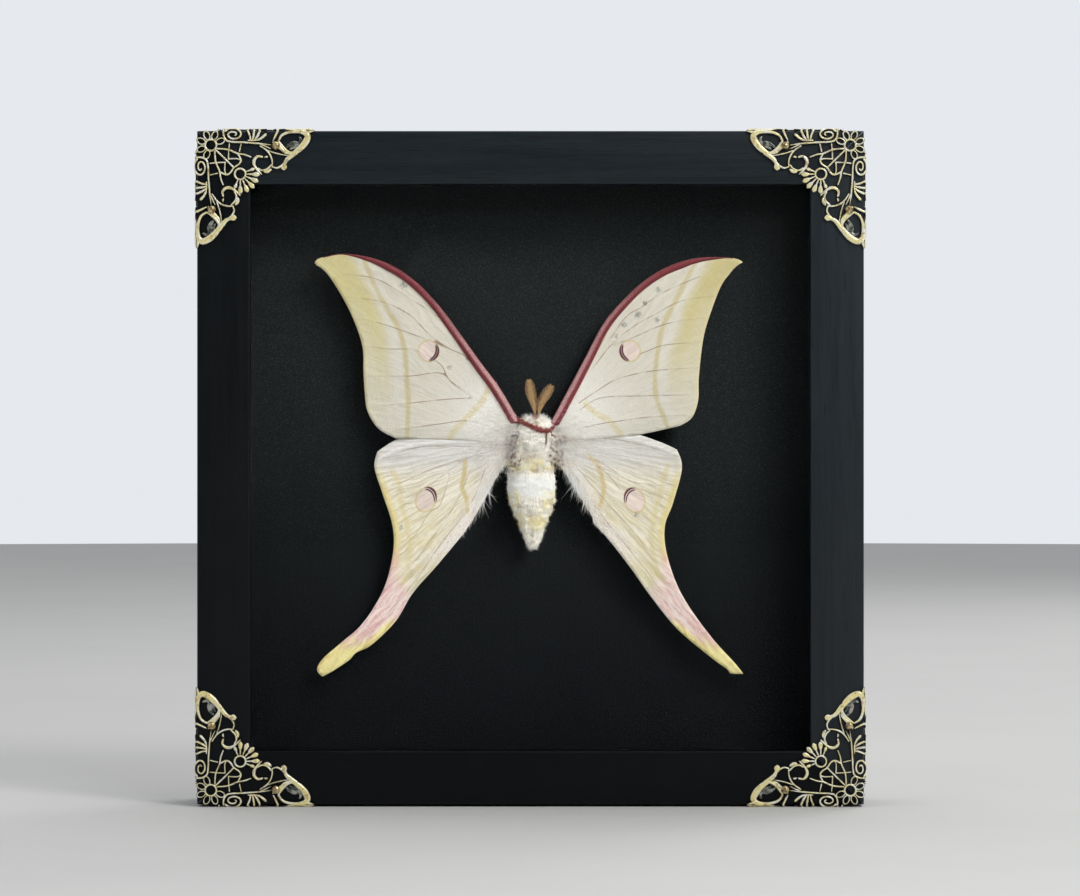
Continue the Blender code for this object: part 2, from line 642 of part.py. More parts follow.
def flat_corner():
    """The whole pattern as one flat mesh, with only the points that its outline needs."""
    loops = [thinned(loop) for loop in covered_loops(corner_pieces())]
    loops = [loop for loop in loops if abs(area(loop)) > smallest_opening(loop)]
    points, edges = [], []
    for loop in loops:
        start = len(points)
        points += [Vector(p) for p in loop]
        edges += [(start + k, start + (k + 1) % len(loop)) for k in range(len(loop))]
    spots, _, parts, _, _, _ = delaunay_2d_cdt(points, edges, [], 0, POINT_MERGE)
    bm = bmesh.new()
    verts = [bm.verts.new((p.x, p.y, 0)) for p in spots]
    for part in parts:
        centre = [sum(spots[i][axis] for i in part) / 3 for axis in (0, 1)]
        if sum(inside(*centre, loop) for loop in loops) % 2:
            bm.faces.new([verts[i] for i in part])
    return bm


def build_corner(name, sx, sz, mat):
    flat = flat_corner()
    bend = (GAP + SHEET / 2) / MM
    for normal in (Vector((1, 0, 0)), Vector((0, 1, 0))):
        for place in (0.0, -bend * math.pi / 2):
            bmesh.ops.bisect_plane(flat, geom=flat.verts[:] + flat.edges[:] + flat.faces[:], dist=POINT_MERGE,
                                   plane_co=normal * place, plane_no=normal)
    bmesh.ops.triangulate(flat, faces=flat.faces)
    corner_x = sx * FRAME_WIDTH / 2
    corner_z = MIDDLE + sz * FRAME_HEIGHT / 2
    bm = bmesh.new()
    layers = []
    for height in (-SHEET / 2 / MM, SHEET / 2 / MM):
        layer = {}
        for v in flat.verts:
            a, y, b = fold(v.co.x, v.co.y, height)
            layer[v] = bm.verts.new((corner_x - sx * a * MM, FRONT + y * MM, corner_z - sz * b * MM))
        layers.append(layer)
    for face in flat.faces:
        for layer in layers:
            bm.faces.new([layer[v] for v in face.verts])
    for edge in flat.edges:
        if len(edge.link_faces) == 1:
            v, w = edge.verts
            bm.faces.new([layers[0][v], layers[0][w], layers[1][w], layers[1][v]])
    flat.free()
    add_object(name, bm, mat)


def build_corners():
    brass = material("old_brass", (0.62, 0.5, 0.24), 0.35, 1.0)
    for sx, side in ((-1, "left"), (1, "right")):
        for sz, level in ((-1, "bottom"), (1, "top")):
            build_corner(f"corner_ornament_{level}_{side}", sx, sz, brass)


def build_tacks():
    brass = material("tack_brass", (0.7, 0.5, 0.2), 0.3, 1.0)
    under = FRONT - GAP - SHEET - GAP
    tip = FRONT + TACK_SHANK_LENGTH
    for number, (x, z, _) in enumerate(tack_places(), start=1):
        bm = bmesh.new()
        dome = [(TACK_HEAD_RADIUS * math.cos(t), under - TACK_HEAD_HEIGHT * math.sin(t))
                for t in (0.0, TACK_DOME_BREAK)]
        turned(bm, [(0, under - TACK_HEAD_HEIGHT)] + dome[::-1] + [(TACK_SHANK_RADIUS, under),
               (TACK_SHANK_RADIUS, tip - 2 * TACK_SHANK_RADIUS), (0, tip)], (x, 0, z), HOLE_SIDES)
        add_object(f"corner_tack_{number}", bm, brass, smooth=True)


def moth_point(x, lift, z):
    """A place on the moth: x and z across it and lift towards the glass, all in millimetres."""
    return MOTH_X + x * MM, FRONT + MOUNT_FRONT - MOTH_HEIGHT - lift * MM, MOTH_Z + z * MM


def body_edge(z, side):
    """Half width of the body at a height, on the left (-1) or the right (1)."""
    column = 1 if side < 0 else 2
    for above, below in zip(BODY_SECTIONS, BODY_SECTIONS[1:]):
        if above[0] >= z >= below[0]:
            t = (above[0] - z) / (above[0] - below[0])
            return abs(above[column] + t * (below[column] - above[column]))
    return 0.0


def wing_lift(x, z):
    """The gentle waves of the dried wings and the drop of the tails, the same for all four wings."""
    waves = sum(height * math.sin(x * along_x + z * along_z) for height, along_x, along_z in WING_WAVES)
    tail = TAIL_DROP * max(0.0, (-z - TAIL_START) / TAIL_LENGTH) ** TAIL_BEND
    root = min(1.0, abs(x) / WAVE_START)
    return waves * root - tail


def build_body():
    """Head, thorax, abdomen and the folded legs, which are one piece."""
    fur = material("moth_fur", (0.78, 0.75, 0.65), 0.9)
    bm = bmesh.new()
    rings = []
    for row, (z, left, right, half_depth) in enumerate(BODY_SECTIONS):
        middle, half_width = (left + right) / 2, (right - left) / 2
        ring = []
        for k in range(BODY_SIDES):
            t = 2 * math.pi * (k + 0.5 * (row % 2)) / BODY_SIDES
            across = middle + half_width * math.cos(t)
            ring.append(bm.verts.new(moth_point(across, half_depth * math.sin(t), z)))
        rings.append(ring)
    for upper, lower in zip(rings, rings[1:]):
        for k in range(BODY_SIDES):
            near = (k + 1) % BODY_SIDES
            bm.faces.new([upper[k], upper[near], lower[near], lower[k]])
    bm.faces.new(rings[0])
    bm.faces.new(rings[-1])
    bmesh.ops.triangulate(bm, faces=bm.faces)
    body = add_object("moth_body", bm, fur, smooth=True)
    legs = bmesh.new()
    for root in LEG_ROOTS:
        for side in (-1, 1):
            add_leg(legs, root, side)
    leg_object = add_object("legs", legs, fur)
    leg_object.hide_render = True
    leg_object.display_type = "WIRE"
    join = body.modifiers.new("legs", "BOOLEAN")
    join.operation = "UNION"
    join.solver = "EXACT"
    join.object = leg_object


def add_leg(bm, root, side):
    """A five-sided tube through the leg's joints, thinner at the foot."""
    rings = []
    for x, lift, rise, radius in LEG_JOINTS:
        ring = []
        for k in range(LEG_SIDES):
            t = 2 * math.pi * k / LEG_SIDES
            across = side * x + radius * math.cos(t)
            ring.append(bm.verts.new(moth_point(across, lift, root + rise + radius * math.sin(t))))
        rings.append(ring)
    for low, high in zip(rings, rings[1:]):
        for k in range(LEG_SIDES):
            near = (k + 1) % LEG_SIDES
            bm.faces.new([low[k], low[near], high[near], high[k]])
    bm.faces.new(rings[0])
    bm.faces.new(rings[-1])


def near_line(x, z, line):
    return min(math.dist((x, z), p) for p in line)


def inside(x, z, loop):
    hit = False
    for (x0, z0), (x1, z1) in zip(loop, loop[1:] + loop[:1]):
        if (z0 > z) != (z1 > z) and x < x0 + (z - z0) / (z1 - z0) * (x1 - x0):
            hit = not hit
    return hit


def wing_loop(margins, side):
    """The wing's whole outline, kept clear of the body."""
    loop = []
    for stretch in ("leading", "outer", "inner"):
        line = smooth_line(margins[stretch], MARGIN_SPACING)
        loop += line if stretch == "inner" else line[:-1]
    return [(side * max(abs(x), body_edge(z, side) + WING_CLEARANCE), z) for x, z in loop]


def surface_spots(loop):
    """An even net of points inside the outline."""
    low_x, high_x = min(p[0] for p in loop), max(p[0] for p in loop)
    low_z, high_z = min(p[1] for p in loop), max(p[1] for p in loop)
    for i in range(int((high_x - low_x) / SURFACE_SPACING) + 1):
        for j in range(int((high_z - low_z) / SURFACE_SPACING) + 1):
            spot = (low_x + (i + 0.5 * (j % 2)) * SURFACE_SPACING, low_z + j * SURFACE_SPACING)
            if inside(*spot, loop) and near_line(*spot, loop) > SURFACE_MARGIN:
                yield spot


def build_wing(name, margins, side, lift, raised_edge, mat):
    """A thin plate in the wing's outline, waved, with the forewing's thick leading edge raised."""
    loop = wing_loop(margins, side)
    rib = smooth_line(margins["leading"], MARGIN_SPACING / 2)
    points = [Vector(p) for p in loop + list(surface_spots(loop))]
    spots, _, parts, _, _, _ = delaunay_2d_cdt(points, [], [list(range(len(loop)))], 1, POINT_MERGE)
    bm = bmesh.new()
    layers = []
    for face_side in (-1, 1):
        layer = []
        for x, z in spots:
            rise = lift + wing_lift(x, z) + face_side * WING_THICKNESS / 2
            if raised_edge and face_side > 0:
                fade = min(1.0, (RIB_FADE_END - abs(x)) / RIB_FADE)
                rise += COSTA_RISE * math.exp(-(near_line(x, z, rib) / COSTA_WIDTH) ** 2) * fade
            layer.append(bm.verts.new(moth_point(x, rise, z)))
        layers.append(layer)
    counts = {}
    for part in parts:
        for layer in layers:
            bm.faces.new([layer[i] for i in part])
        for i, j in zip(part, part[1:] + part[:1]):
            counts[frozenset((i, j))] = counts.get(frozenset((i, j)), 0) + 1
    for edge, count in counts.items():
        if count == 1:
            i, j = edge
            bm.faces.new([layers[0][i], layers[0][j], layers[1][j], layers[1][i]])
    bmesh.ops.triangulate(bm, faces=bm.faces)
    add_object(name, bm, mat, smooth=True)


def build_wings():
    cream = material("wing_scales", (0.74, 0.71, 0.58), 0.7)
    build_wing("forewing_left", LEFT_FOREWING, -1, FOREWING_LIFT, True, cream)
    build_wing("forewing_right", RIGHT_FOREWING, 1, FOREWING_LIFT, True, cream)
    build_wing("hindwing_left", LEFT_HINDWING, -1, HINDWING_LIFT, False, cream)
    build_wing("hindwing_right", RIGHT_HINDWING, 1, HINDWING_LIFT, False, cream)


def build_antennae():
    """Feathery antennae as leaf-shaped plates that reach the tips of their barbs."""
    brown = material("antenna", (0.45, 0.28, 0.12), 0.8)
    for name, outline in (("antenna_left", LEFT_ANTENNA), ("antenna_right", RIGHT_ANTENNA)):
        bm = bmesh.new()
        loop = smooth_line(outline + outline[:1], ANTENNA_SPACING)[:-1]
        layers = []
        for face_side in (-1, 1):
            lift = ANTENNA_LIFT + face_side * ANTENNA_THICKNESS / 2
            layers.append([bm.verts.new(moth_point(x, lift, z)) for x, z in loop])
        bm.faces.new(layers[0])
        bm.faces.new(layers[1])
        for k in range(len(loop)):
            near = (k + 1) % len(loop)
            bm.faces.new([layers[0][k], layers[0][near], layers[1][near], layers[1][k]])
        add_object(name, bm, brown)


def build_glue():
    """The dab that holds the thorax to the board."""
    glue = material("dried_glue", (0.5, 0.42, 0.25), 0.3)
    bm = bmesh.new()
    board = FRONT + MOUNT_FRONT - GAP
    top = FRONT + MOUNT_FRONT - MOTH_HEIGHT + THORAX_HALF_DEPTH + GAP
    foot, waist, neck = GLUE_RADII
    profile = [(0, board), (foot, board), (waist, (board + top) / 2), (neck, top), (0, top)]
    turned(bm, profile, (MOTH_X, 0, MOTH_Z + GLUE_Z), GLUE_SIDES)
    add_object("glue_dab", bm, glue, smooth=True)


def main():
    for obj in list(bpy.data.objects):
        bpy.data.objects.remove(obj)
    build_rails()
    build_glazing_and_boards()
    build_tabs()
    build_hanger()
    build_corners()
    build_tacks()
    build_body()
    build_wings()
    build_antennae()
    build_glue()


main()
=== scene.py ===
import math

import bmesh
import bpy
import numpy as np
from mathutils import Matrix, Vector, noise
from mathutils.geometry import delaunay_2d_cdt


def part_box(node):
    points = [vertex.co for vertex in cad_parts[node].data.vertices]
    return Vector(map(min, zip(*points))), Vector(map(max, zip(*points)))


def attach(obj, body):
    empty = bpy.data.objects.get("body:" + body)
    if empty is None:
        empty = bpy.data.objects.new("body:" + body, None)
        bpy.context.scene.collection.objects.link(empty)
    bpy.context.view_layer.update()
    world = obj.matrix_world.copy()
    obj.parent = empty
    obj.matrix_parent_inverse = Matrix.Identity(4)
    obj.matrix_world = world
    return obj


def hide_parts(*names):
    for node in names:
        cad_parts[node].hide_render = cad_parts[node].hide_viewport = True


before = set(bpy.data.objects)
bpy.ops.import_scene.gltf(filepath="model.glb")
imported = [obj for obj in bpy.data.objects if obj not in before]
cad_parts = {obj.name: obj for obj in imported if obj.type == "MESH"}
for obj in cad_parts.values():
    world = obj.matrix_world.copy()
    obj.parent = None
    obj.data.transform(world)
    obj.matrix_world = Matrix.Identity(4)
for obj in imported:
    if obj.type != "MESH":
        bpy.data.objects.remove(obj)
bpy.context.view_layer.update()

mm = 0.001
railLow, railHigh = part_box("frame_rail_top")
frontY, backY, topZ = railLow[1], railHigh[1], railHigh[2]
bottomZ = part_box("frame_rail_bottom")[0][2]
middleZ = (bottomZ + topZ) / 2
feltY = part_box("mount_board")[0][1]


def rgb(r, g, b):                                    # screen colour to linear light
    linear = [c / 12.92 / 255 if c < 11 else ((c / 255 + 0.055) / 1.055) ** 2.4 for c in (r, g, b)]
    return (*linear, 1.0)


# Node helpers, for shader and geometry trees alike

def connect(tree, node, wires):                      # each input gets a link or a plain value
    for key, value in wires.items():
        if isinstance(value, bpy.types.NodeSocket):
            tree.links.new(value, node.inputs[key])
        else:
            node.inputs[key].default_value = value


def put(tree, kind, wires=None, **settings):
    node = tree.nodes.new(kind)
    for name, value in settings.items():
        setattr(node, name, value)
    connect(tree, node, wires or {})
    return node


def calc(tree, operation, first, second=0.0, third=0.0):
    return put(tree, "ShaderNodeMath", {0: first, 1: second, 2: third}, operation=operation).outputs[0]


def times(tree, first, *others):
    for other in others:
        first = calc(tree, "MULTIPLY", first, other)
    return first


def gap(tree, value, centre):                        # how far a value is from a centre, on either side
    return calc(tree, "ABSOLUTE", calc(tree, "SUBTRACT", value, centre))


def wobbled(tree, value, wobble, amount):            # a distance whose edge is made uneven by a noise
    return calc(tree, "MULTIPLY_ADD", calc(tree, "SUBTRACT", wobble, 0.5), amount, value)


def vectorCalc(tree, operation, first, second):
    return put(tree, "ShaderNodeVectorMath", {0: first, 1: second}, operation=operation).outputs[0]


def combine(tree, x, y, z):
    return put(tree, "ShaderNodeCombineXYZ", {0: x, 1: y, 2: z}).outputs[0]


def split(tree, vector):
    return put(tree, "ShaderNodeSeparateXYZ", {0: vector}).outputs


def ramp(tree, value, low, high, toLow=0.0, toHigh=1.0):        # smooth step between two values
    return put(tree, "ShaderNodeMapRange", {0: value, 1: low, 2: high, 3: toLow, 4: toHigh},
               interpolation_type="SMOOTHSTEP").outputs[0]


def between(tree, value, rise, fall):                # one inside a span with soft ends, nothing outside it
    return times(tree, ramp(tree, value, *rise), ramp(tree, value, *fall))


def over(tree, below, above, *masks):                # lay a colour over another where every mask allows it
    mask = times(tree, *masks)
    return put(tree, "ShaderNodeMix", {0: mask, 6: below, 7: above}, data_type="RGBA").outputs[2]


def stored(tree, name, output="Fac"):
    return put(tree, "ShaderNodeAttribute", attribute_name=name).outputs[output]


def place(tree):
    return put(tree, "ShaderNodeTexCoord").outputs["Object"]


def stretched(tree, vector, scale, turn=(0.0, 0.0, 0.0)):
    return put(tree, "ShaderNodeMapping", {"Vector": vector, "Scale": scale, "Rotation": turn}).outputs[0]


def speckle(tree, vector, scale, detail=3.0, roughness=0.6, distortion=0.0, output="Fac"):
    return put(tree, "ShaderNodeTexNoise", {
        "Vector": vector, "Scale": scale, "Detail": detail, "Roughness": roughness,
        "Distortion": distortion}).outputs[output]


def newTree(kind, name, inputs, outputs):            # a socket's kind is named, or is that of its first value
    tree = bpy.data.node_groups.new(name, kind)
    for side, sockets in (("INPUT", inputs), ("OUTPUT", outputs)):
        for label, value in sockets.items():
            sort = {float: "Float", int: "Int"}.get(type(value), value)
            socket = tree.interface.new_socket(label, in_out=side, socket_type="NodeSocket" + sort)
            if sort != value:
                socket.default_value = value
    return tree, tree.nodes.new("NodeGroupInput").outputs, tree.nodes.new("NodeGroupOutput")


def makeGrain():                                     # long fibres along local X: wood, steel, pressed board
    group, given, result = newTree("ShaderNodeTree", "longGrain", {
        "Vector": "Vector", "Fibre Scale": 60.0, "Stretch": 12.0, "Contrast": 1.0},
        {"Grain": "Float", "Pores": "Float"})
    squash = combine(group, calc(group, "DIVIDE", 1.0, given["Stretch"]), 1.0, 1.0)
    along = vectorCalc(group, "MULTIPLY", given["Vector"], squash)
    wide = speckle(group, along, given["Fibre Scale"], 5.0, 0.65, 0.2)
    fine = speckle(group, along, times(group, given["Fibre Scale"], 5.0), 2.0, 0.5)
    mixed = calc(group, "ADD", times(group, wide, 0.6), times(group, fine, 0.4))
    grain = calc(group, "MULTIPLY_ADD", calc(group, "SUBTRACT", mixed, 0.5), given["Contrast"], 0.5)
    connect(group, result, {"Grain": grain, "Pores": ramp(group, fine, 0.58, 0.72)})
    return group


def makeDust():                                      # pale specks and a film, more where a surface looks up
    group, given, result = newTree("ShaderNodeTree", "settledDust", {
        "Vector": "Vector", "Speck Scale": 900.0, "Amount": 0.2}, {"Dust": "Float"})
    up = split(group, put(group, "ShaderNodeNewGeometry").outputs["Normal"])[2]
    specks = ramp(group, speckle(group, given["Vector"], given["Speck Scale"], 1.0), 0.62, 0.8)
    film = ramp(group, speckle(group, given["Vector"], 60.0, 4.0), 0.4, 0.9, 0.0, 0.5)
    settled = times(group, calc(group, "ADD", specks, film), ramp(group, up, -0.2, 1.0, 0.25, 1.0))
    connect(group, result, {"Dust": times(group, settled, given["Amount"])})
    return group


def makeMottle():                                    # uneven tone of scales and fur: clouds and flecks
    group, given, result = newTree("ShaderNodeTree", "scaleMottle", {
        "Vector": "Vector", "Cloud Scale": 60.0, "Fleck Scale": 2500.0},
        {"Clouds": "Float", "Flecks": "Float"})
    connect(group, result, {"Clouds": speckle(group, given["Vector"], given["Cloud Scale"], 4.0, 0.5),
                            "Flecks": speckle(group, given["Vector"], given["Fleck Scale"], 2.0, 0.5)})
    return group


grainEffect = makeGrain()
dustEffect = makeDust()
mottleEffect = makeMottle()


def effect(tree, group, wires):
    return put(tree, "ShaderNodeGroup", wires, node_tree=group).outputs


def grained(tree, spot, scale, stretch, contrast):
    return effect(tree, grainEffect, {
        "Vector": spot, "Fibre Scale": scale, "Stretch": stretch, "Contrast": contrast})


def dusted(tree, tone, spot, speckScale, amount, color):
    dust = effect(tree, dustEffect, {"Vector": spot, "Speck Scale": speckScale, "Amount": amount})["Dust"]
    return over(tree, tone, color, dust)


def newMaterial(name):
    material = bpy.data.materials.new(name)
    material.use_nodes = True
    return material, material.node_tree


def finish(material, color, roughness, height=None, strength=0.3, distance=0.0002, plain=None):
    tree = material.node_tree
    shader = tree.nodes["Principled BSDF"]
    connect(tree, shader, {"Base Color": color, "Roughness": roughness, **(plain or {})})
    if height is not None:
        bump = put(tree, "ShaderNodeBump", {"Strength": strength, "Distance": distance, "Height": height})
        connect(tree, shader, {"Normal": bump.outputs[0]})
    return material


def speckledFinish(name, low, high, scale, roughness, strength, distance=0.0001):
    material, tree = newMaterial(name)
    flecks = speckle(tree, place(tree), scale)
    return finish(material, over(tree, low, high, flecks), roughness, flecks, strength, distance)


# Camera, floor and light

view = {"distance": 1.0794, "lens": 120.0, "x": 0.00285, "z": 0.1076, "floorRadius": 3.0, "floorCorners": 60,
        "floorLow": rgb(214, 213, 210), "floorHigh": rgb(205, 204, 201), "aim": (0.0, 0.0, 0.1)}
lamps = {                                            # place, width, power and tint
    "keyRight": ((0.78, -0.85, 1.05), 0.5, 8.6, (1.0, 0.99, 0.97)),
    "sheen": ((0.5, -1.2, 0.68), 0.3, 2.2, (0.92, 0.97, 1.0)),
    "fillLeft": ((-1.1, -0.9, 0.65), 0.9, 1.6, (0.97, 0.98, 1.0)),
    "overhead": ((0.1, 0.1, 1.5), 0.9, 3.6, (0.96, 0.98, 1.0)),
    "backRight": ((0.9, 1.1, 0.9), 0.8, 5.0, (1.0, 0.99, 0.97)),
}


def addObject(name, data):
    added = bpy.data.objects.new(name, data)
    bpy.context.scene.collection.objects.link(added)
    return added


def buildFloor():
    mesh = bpy.data.meshes.new("floor")
    rim = [(view["floorRadius"] * c, view["floorRadius"] * s, 0.0) for c, s in turnsOf(view["floorCorners"])]
    mesh.from_pydata(rim, [], [tuple(range(len(rim)))])
    material, tree = newMaterial("paleFloor")
    clouds = speckle(tree, place(tree), 8.0)
    mesh.materials.append(finish(material, over(tree, view["floorLow"], view["floorHigh"], clouds), 0.9))
    addObject("floor", mesh)


def buildStudio():
    scene = bpy.context.scene
    cameraData = bpy.data.cameras.new("camera")
    cameraData.lens = view["lens"]
    cameraData.sensor_width = 36.0
    camera = addObject("camera", cameraData)
    camera.location = (view["x"], frontY - view["distance"], view["z"])
    camera.rotation_euler = (math.pi / 2, 0.0, 0.0)
    scene.camera = camera
    scene.view_settings.view_transform = "Standard"
    buildFloor()

    world = bpy.data.worlds.new("studio")            # a pale backdrop, dark only behind the camera
    scene.world = world
    world.use_nodes = True
    tree = world.node_tree
    towards = split(tree, put(tree, "ShaderNodeTexCoord").outputs["Generated"])[1]
    lit = ramp(tree, towards, -0.9, -0.05, 0.02, 0.62)
    seen = put(tree, "ShaderNodeLightPath").outputs["Is Camera Ray"]
    strength = put(tree, "ShaderNodeMix", {0: seen, 2: lit, 3: 0.85}, data_type="FLOAT").outputs[0]
    connect(tree, tree.nodes["Background"], {"Color": (0.93, 0.96, 1.0, 1.0), "Strength": strength})

    for name, (spot, width, power, tint) in lamps.items():
        lampData = bpy.data.lights.new(name, "AREA")
        lampData.shape = "DISK"
        lampData.size = width
        lampData.energy = power
        lampData.color = tint
        lamp = addObject(name, lampData)
        lamp.location = spot
        aim = Vector(view["aim"]) - Vector(spot)
        lamp.rotation_euler = aim.to_track_quat("-Z", "Y").to_euler()
    print("stage: camera, floor and lights")


# Mesh helpers

def turnOutward(mesh):                               # every closed shell of a mesh gets faces that point out
    bm = bmesh.new()
    bm.from_mesh(mesh)
    bmesh.ops.recalc_face_normals(bm, faces=bm.faces)
    bm.to_mesh(mesh)
    bm.free()


def newPiece(name, verts, faces, material=None, attributes=None, slot=None, replaced=()):
    mesh = bpy.data.meshes.new(name)
    mesh.from_pydata([tuple(v) for v in verts], [], faces)
    if material:
        mesh.materials.append(material)
    for key, values in (attributes or {}).items():
        values = np.asarray(values, dtype=np.float32)
        kind, field = ("FLOAT_VECTOR", "vector") if values.ndim == 2 else ("FLOAT", "value")
        mesh.attributes.new(key, kind, "POINT").data.foreach_set(field, values.ravel())
    mesh.validate()
    mesh.shade_smooth()
    turnOutward(mesh)
    piece = addObject(name, mesh)
    if slot:
        finishPiece(piece, replaced)
    return piece


def finishPiece(piece, replaced=()):
    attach(piece, "root")
    if replaced:
        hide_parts(*replaced)


def ringFaces(start, rings, sides, closed=False):    # the skin of a tube given by rings of points
    faces = []
    for ring in range(rings if closed else rings - 1):
        near, far = start + ring * sides, start + (ring + 1) % rings * sides
        faces += [(near + s, near + (s + 1) % sides, far + (s + 1) % sides, far + s) for s in range(sides)]
    if not closed:
        last = start + (rings - 1) * sides
        faces += [tuple(range(start, start + sides)), tuple(range(last, last + sides))]
    return faces


def turnsOf(count):
    return [(math.cos(t), math.sin(t)) for t in (2 * math.pi * k / count for k in range(count))]


def smoothLine(points, spacing):                     # a curve through every given point, sampled evenly
    rows = [np.array(p, dtype=float) for p in [points[0], *points, points[-1]]]
    line = []
    for p0, p1, p2, p3 in zip(rows, rows[1:], rows[2:], rows[3:]):
        steps = max(1, int(round(np.linalg.norm((p2 - p1)[:2]) / spacing)))
        for t in np.arange(steps) / steps:
            line.append(0.5 * (2 * p1 + (p2 - p0) * t + (2 * p0 - 5 * p1 + 4 * p2 - p3) * t ** 2
                               + (3 * p1 - p0 - 3 * p2 + p3) * t ** 3))
    return np.array(line + [rows[-1]])


def distanceTo(points, line):                        # distance of each point to a line of short straight runs
    best = np.full(len(points), 1e9)
    for start, end in zip(line[:-1], line[1:]):
        run = end - start
        t = np.clip(((points - start) @ run) / max(run @ run, 1e-9), 0, 1)
        best = np.minimum(best, np.linalg.norm(points - (start + t[:, None] * run), axis=1))
    return best


def insideLoop(points, loop):
    hit = np.zeros(len(points), dtype=bool)
    x, z = points[:, 0], points[:, 1]
    for (x0, z0), (x1, z1) in zip(loop, np.roll(loop, -1, axis=0)):
        if z0 != z1:
            hit ^= ((z0 > z) != (z1 > z)) & (x < x0 + (z - z0) / (z1 - z0) * (x1 - x0))
    return hit


# Geometry trees

def meshField(tree, name, kind="FLOAT"):
    return put(tree, "GeometryNodeInputNamedAttribute", {"Name": name}, data_type=kind).outputs[0]


def randomField(tree, low, high, seed):
    if isinstance(low, tuple):
        wires, kind, output = {0: low, 1: high, "Seed": seed}, "FLOAT_VECTOR", 0
    else:
        wires, kind, output = {2: low, 3: high, "Seed": seed}, "FLOAT", 1
    return put(tree, "FunctionNodeRandomValue", wires, data_type=kind).outputs[output]


def pointAlong(tree, heading):
    return put(tree, "FunctionNodeAlignRotationToVector", {"Vector": heading}, axis="Z").outputs[0]


def cone(tree, sides, top, ends):                    # one unit high, with as many rings as sides
    return put(tree, "GeometryNodeMeshCone", {
        "Vertices": sides, "Side Segments": sides, "Radius Top": top, "Radius Bottom": 1.0, "Depth": 1.0},
        fill_type=ends).outputs["Mesh"]


def copiesOn(tree, points, shape, rotation, size):
    return put(tree, "GeometryNodeInstanceOnPoints", {
        "Points": points, "Instance": shape, "Rotation": rotation, "Scale": size}).outputs[0]


def join(tree, *parts):
    joined = put(tree, "GeometryNodeJoinGeometry")
    for part in parts:
        tree.links.new(part, joined.inputs[0])
    return joined.outputs[0]


def realAndPainted(tree, copies, material):
    real = put(tree, "GeometryNodeRealizeInstances", {"Geometry": copies}).outputs[0]
    return put(tree, "GeometryNodeSetMaterial", {"Geometry": real, "Material": material}).outputs[0]


def grow(source, tree, settings, name, replaced=()):      # keep the mesh a tree makes
    modifier = source.modifiers.new(name, "NODES")
    modifier.node_group = tree
    for item in tree.interface.items_tree:
        if item.in_out == "INPUT" and item.name in settings:
            modifier[item.identifier] = settings[item.name]
    graph = bpy.context.evaluated_depsgraph_get()
    mesh = bpy.data.meshes.new_from_object(source.evaluated_get(graph))
    source.modifiers.clear()
    bpy.data.objects.remove(source)
    mesh.name = name
    piece = addObject(name, mesh)
    finishPiece(piece, replaced)
    return piece


def makeFurTree():                                   # tapered hairs, laid along the comb attribute
    tree, given, result = newTree("GeometryNodeTree", "furOverSurface", {
        "Geometry": "Geometry", "Hairs Per Square Millimetre": 8.0, "Hair Length": 0.001,
        "Hair Radius": 0.00005, "Unruliness": 0.3, "Curl": 5.0, "Seed": 1, "Hair Material": "Material"},
        {"Geometry": "Geometry"})
    seed = given["Seed"]
    density = times(tree, given["Hairs Per Square Millimetre"], 1 / mm ** 2, meshField(tree, "furriness"))
    scatter = put(tree, "GeometryNodeDistributePointsOnFaces", {
        "Mesh": given["Geometry"], "Density": density, "Seed": seed})
    hair = cone(tree, 3, 0.0, "NONE")
    up = split(tree, put(tree, "GeometryNodeInputPosition").outputs[0])[2]
    lean = combine(tree, times(tree, up, up, given["Curl"]), 0.0, 0.0)
    bent = put(tree, "GeometryNodeSetPosition", {"Geometry": hair, "Offset": lean}).outputs[0]
    stray = randomField(tree, (-1.0, -1.0, -1.0), (1.0, 1.0, 1.0), seed)
    heading = vectorCalc(tree, "ADD", meshField(tree, "comb", "FLOAT_VECTOR"),
                         vectorCalc(tree, "MULTIPLY", stray, given["Unruliness"]))
    roll = put(tree, "FunctionNodeAxisAngleToRotation", {
        "Axis": (0.0, 0.0, 1.0), "Angle": randomField(tree, -math.pi, math.pi, seed)}).outputs[0]
    rolled = put(tree, "FunctionNodeRotateRotation", {
        "Rotation": pointAlong(tree, heading), "Rotate By": roll}, rotation_space="LOCAL").outputs[0]
    varied = randomField(tree, 0.55, 1.15, seed)
    length = times(tree, given["Hair Length"], varied, meshField(tree, "hairLength"))
    size = combine(tree, given["Hair Radius"], given["Hair Radius"], length)
    hairs = copiesOn(tree, scatter.outputs["Points"], bent, rolled, size)
    whole = join(tree, realAndPainted(tree, hairs, given["Hair Material"]), given["Geometry"])
    connect(tree, result, {0: whole})
    return tree


# Wood rails, boards and hardware

# each rail's sheen is painted light: the top and right rails are painted lighter, as if lit from the upper
# right
rails = {"face": 16 * mm, "wall": 9 * mm, "lip": 4 * mm, "edgeRound": 0.6 * mm, "backChamfer": 0.4 * mm,
         "hairlineMitre": 0.04 * mm, "roundSteps": 4, "rings": 3, "sharpAbove": 32,
         "sheen": {"top": 0.58, "bottom": 0.0, "left": 0.12, "right": 0.8}}


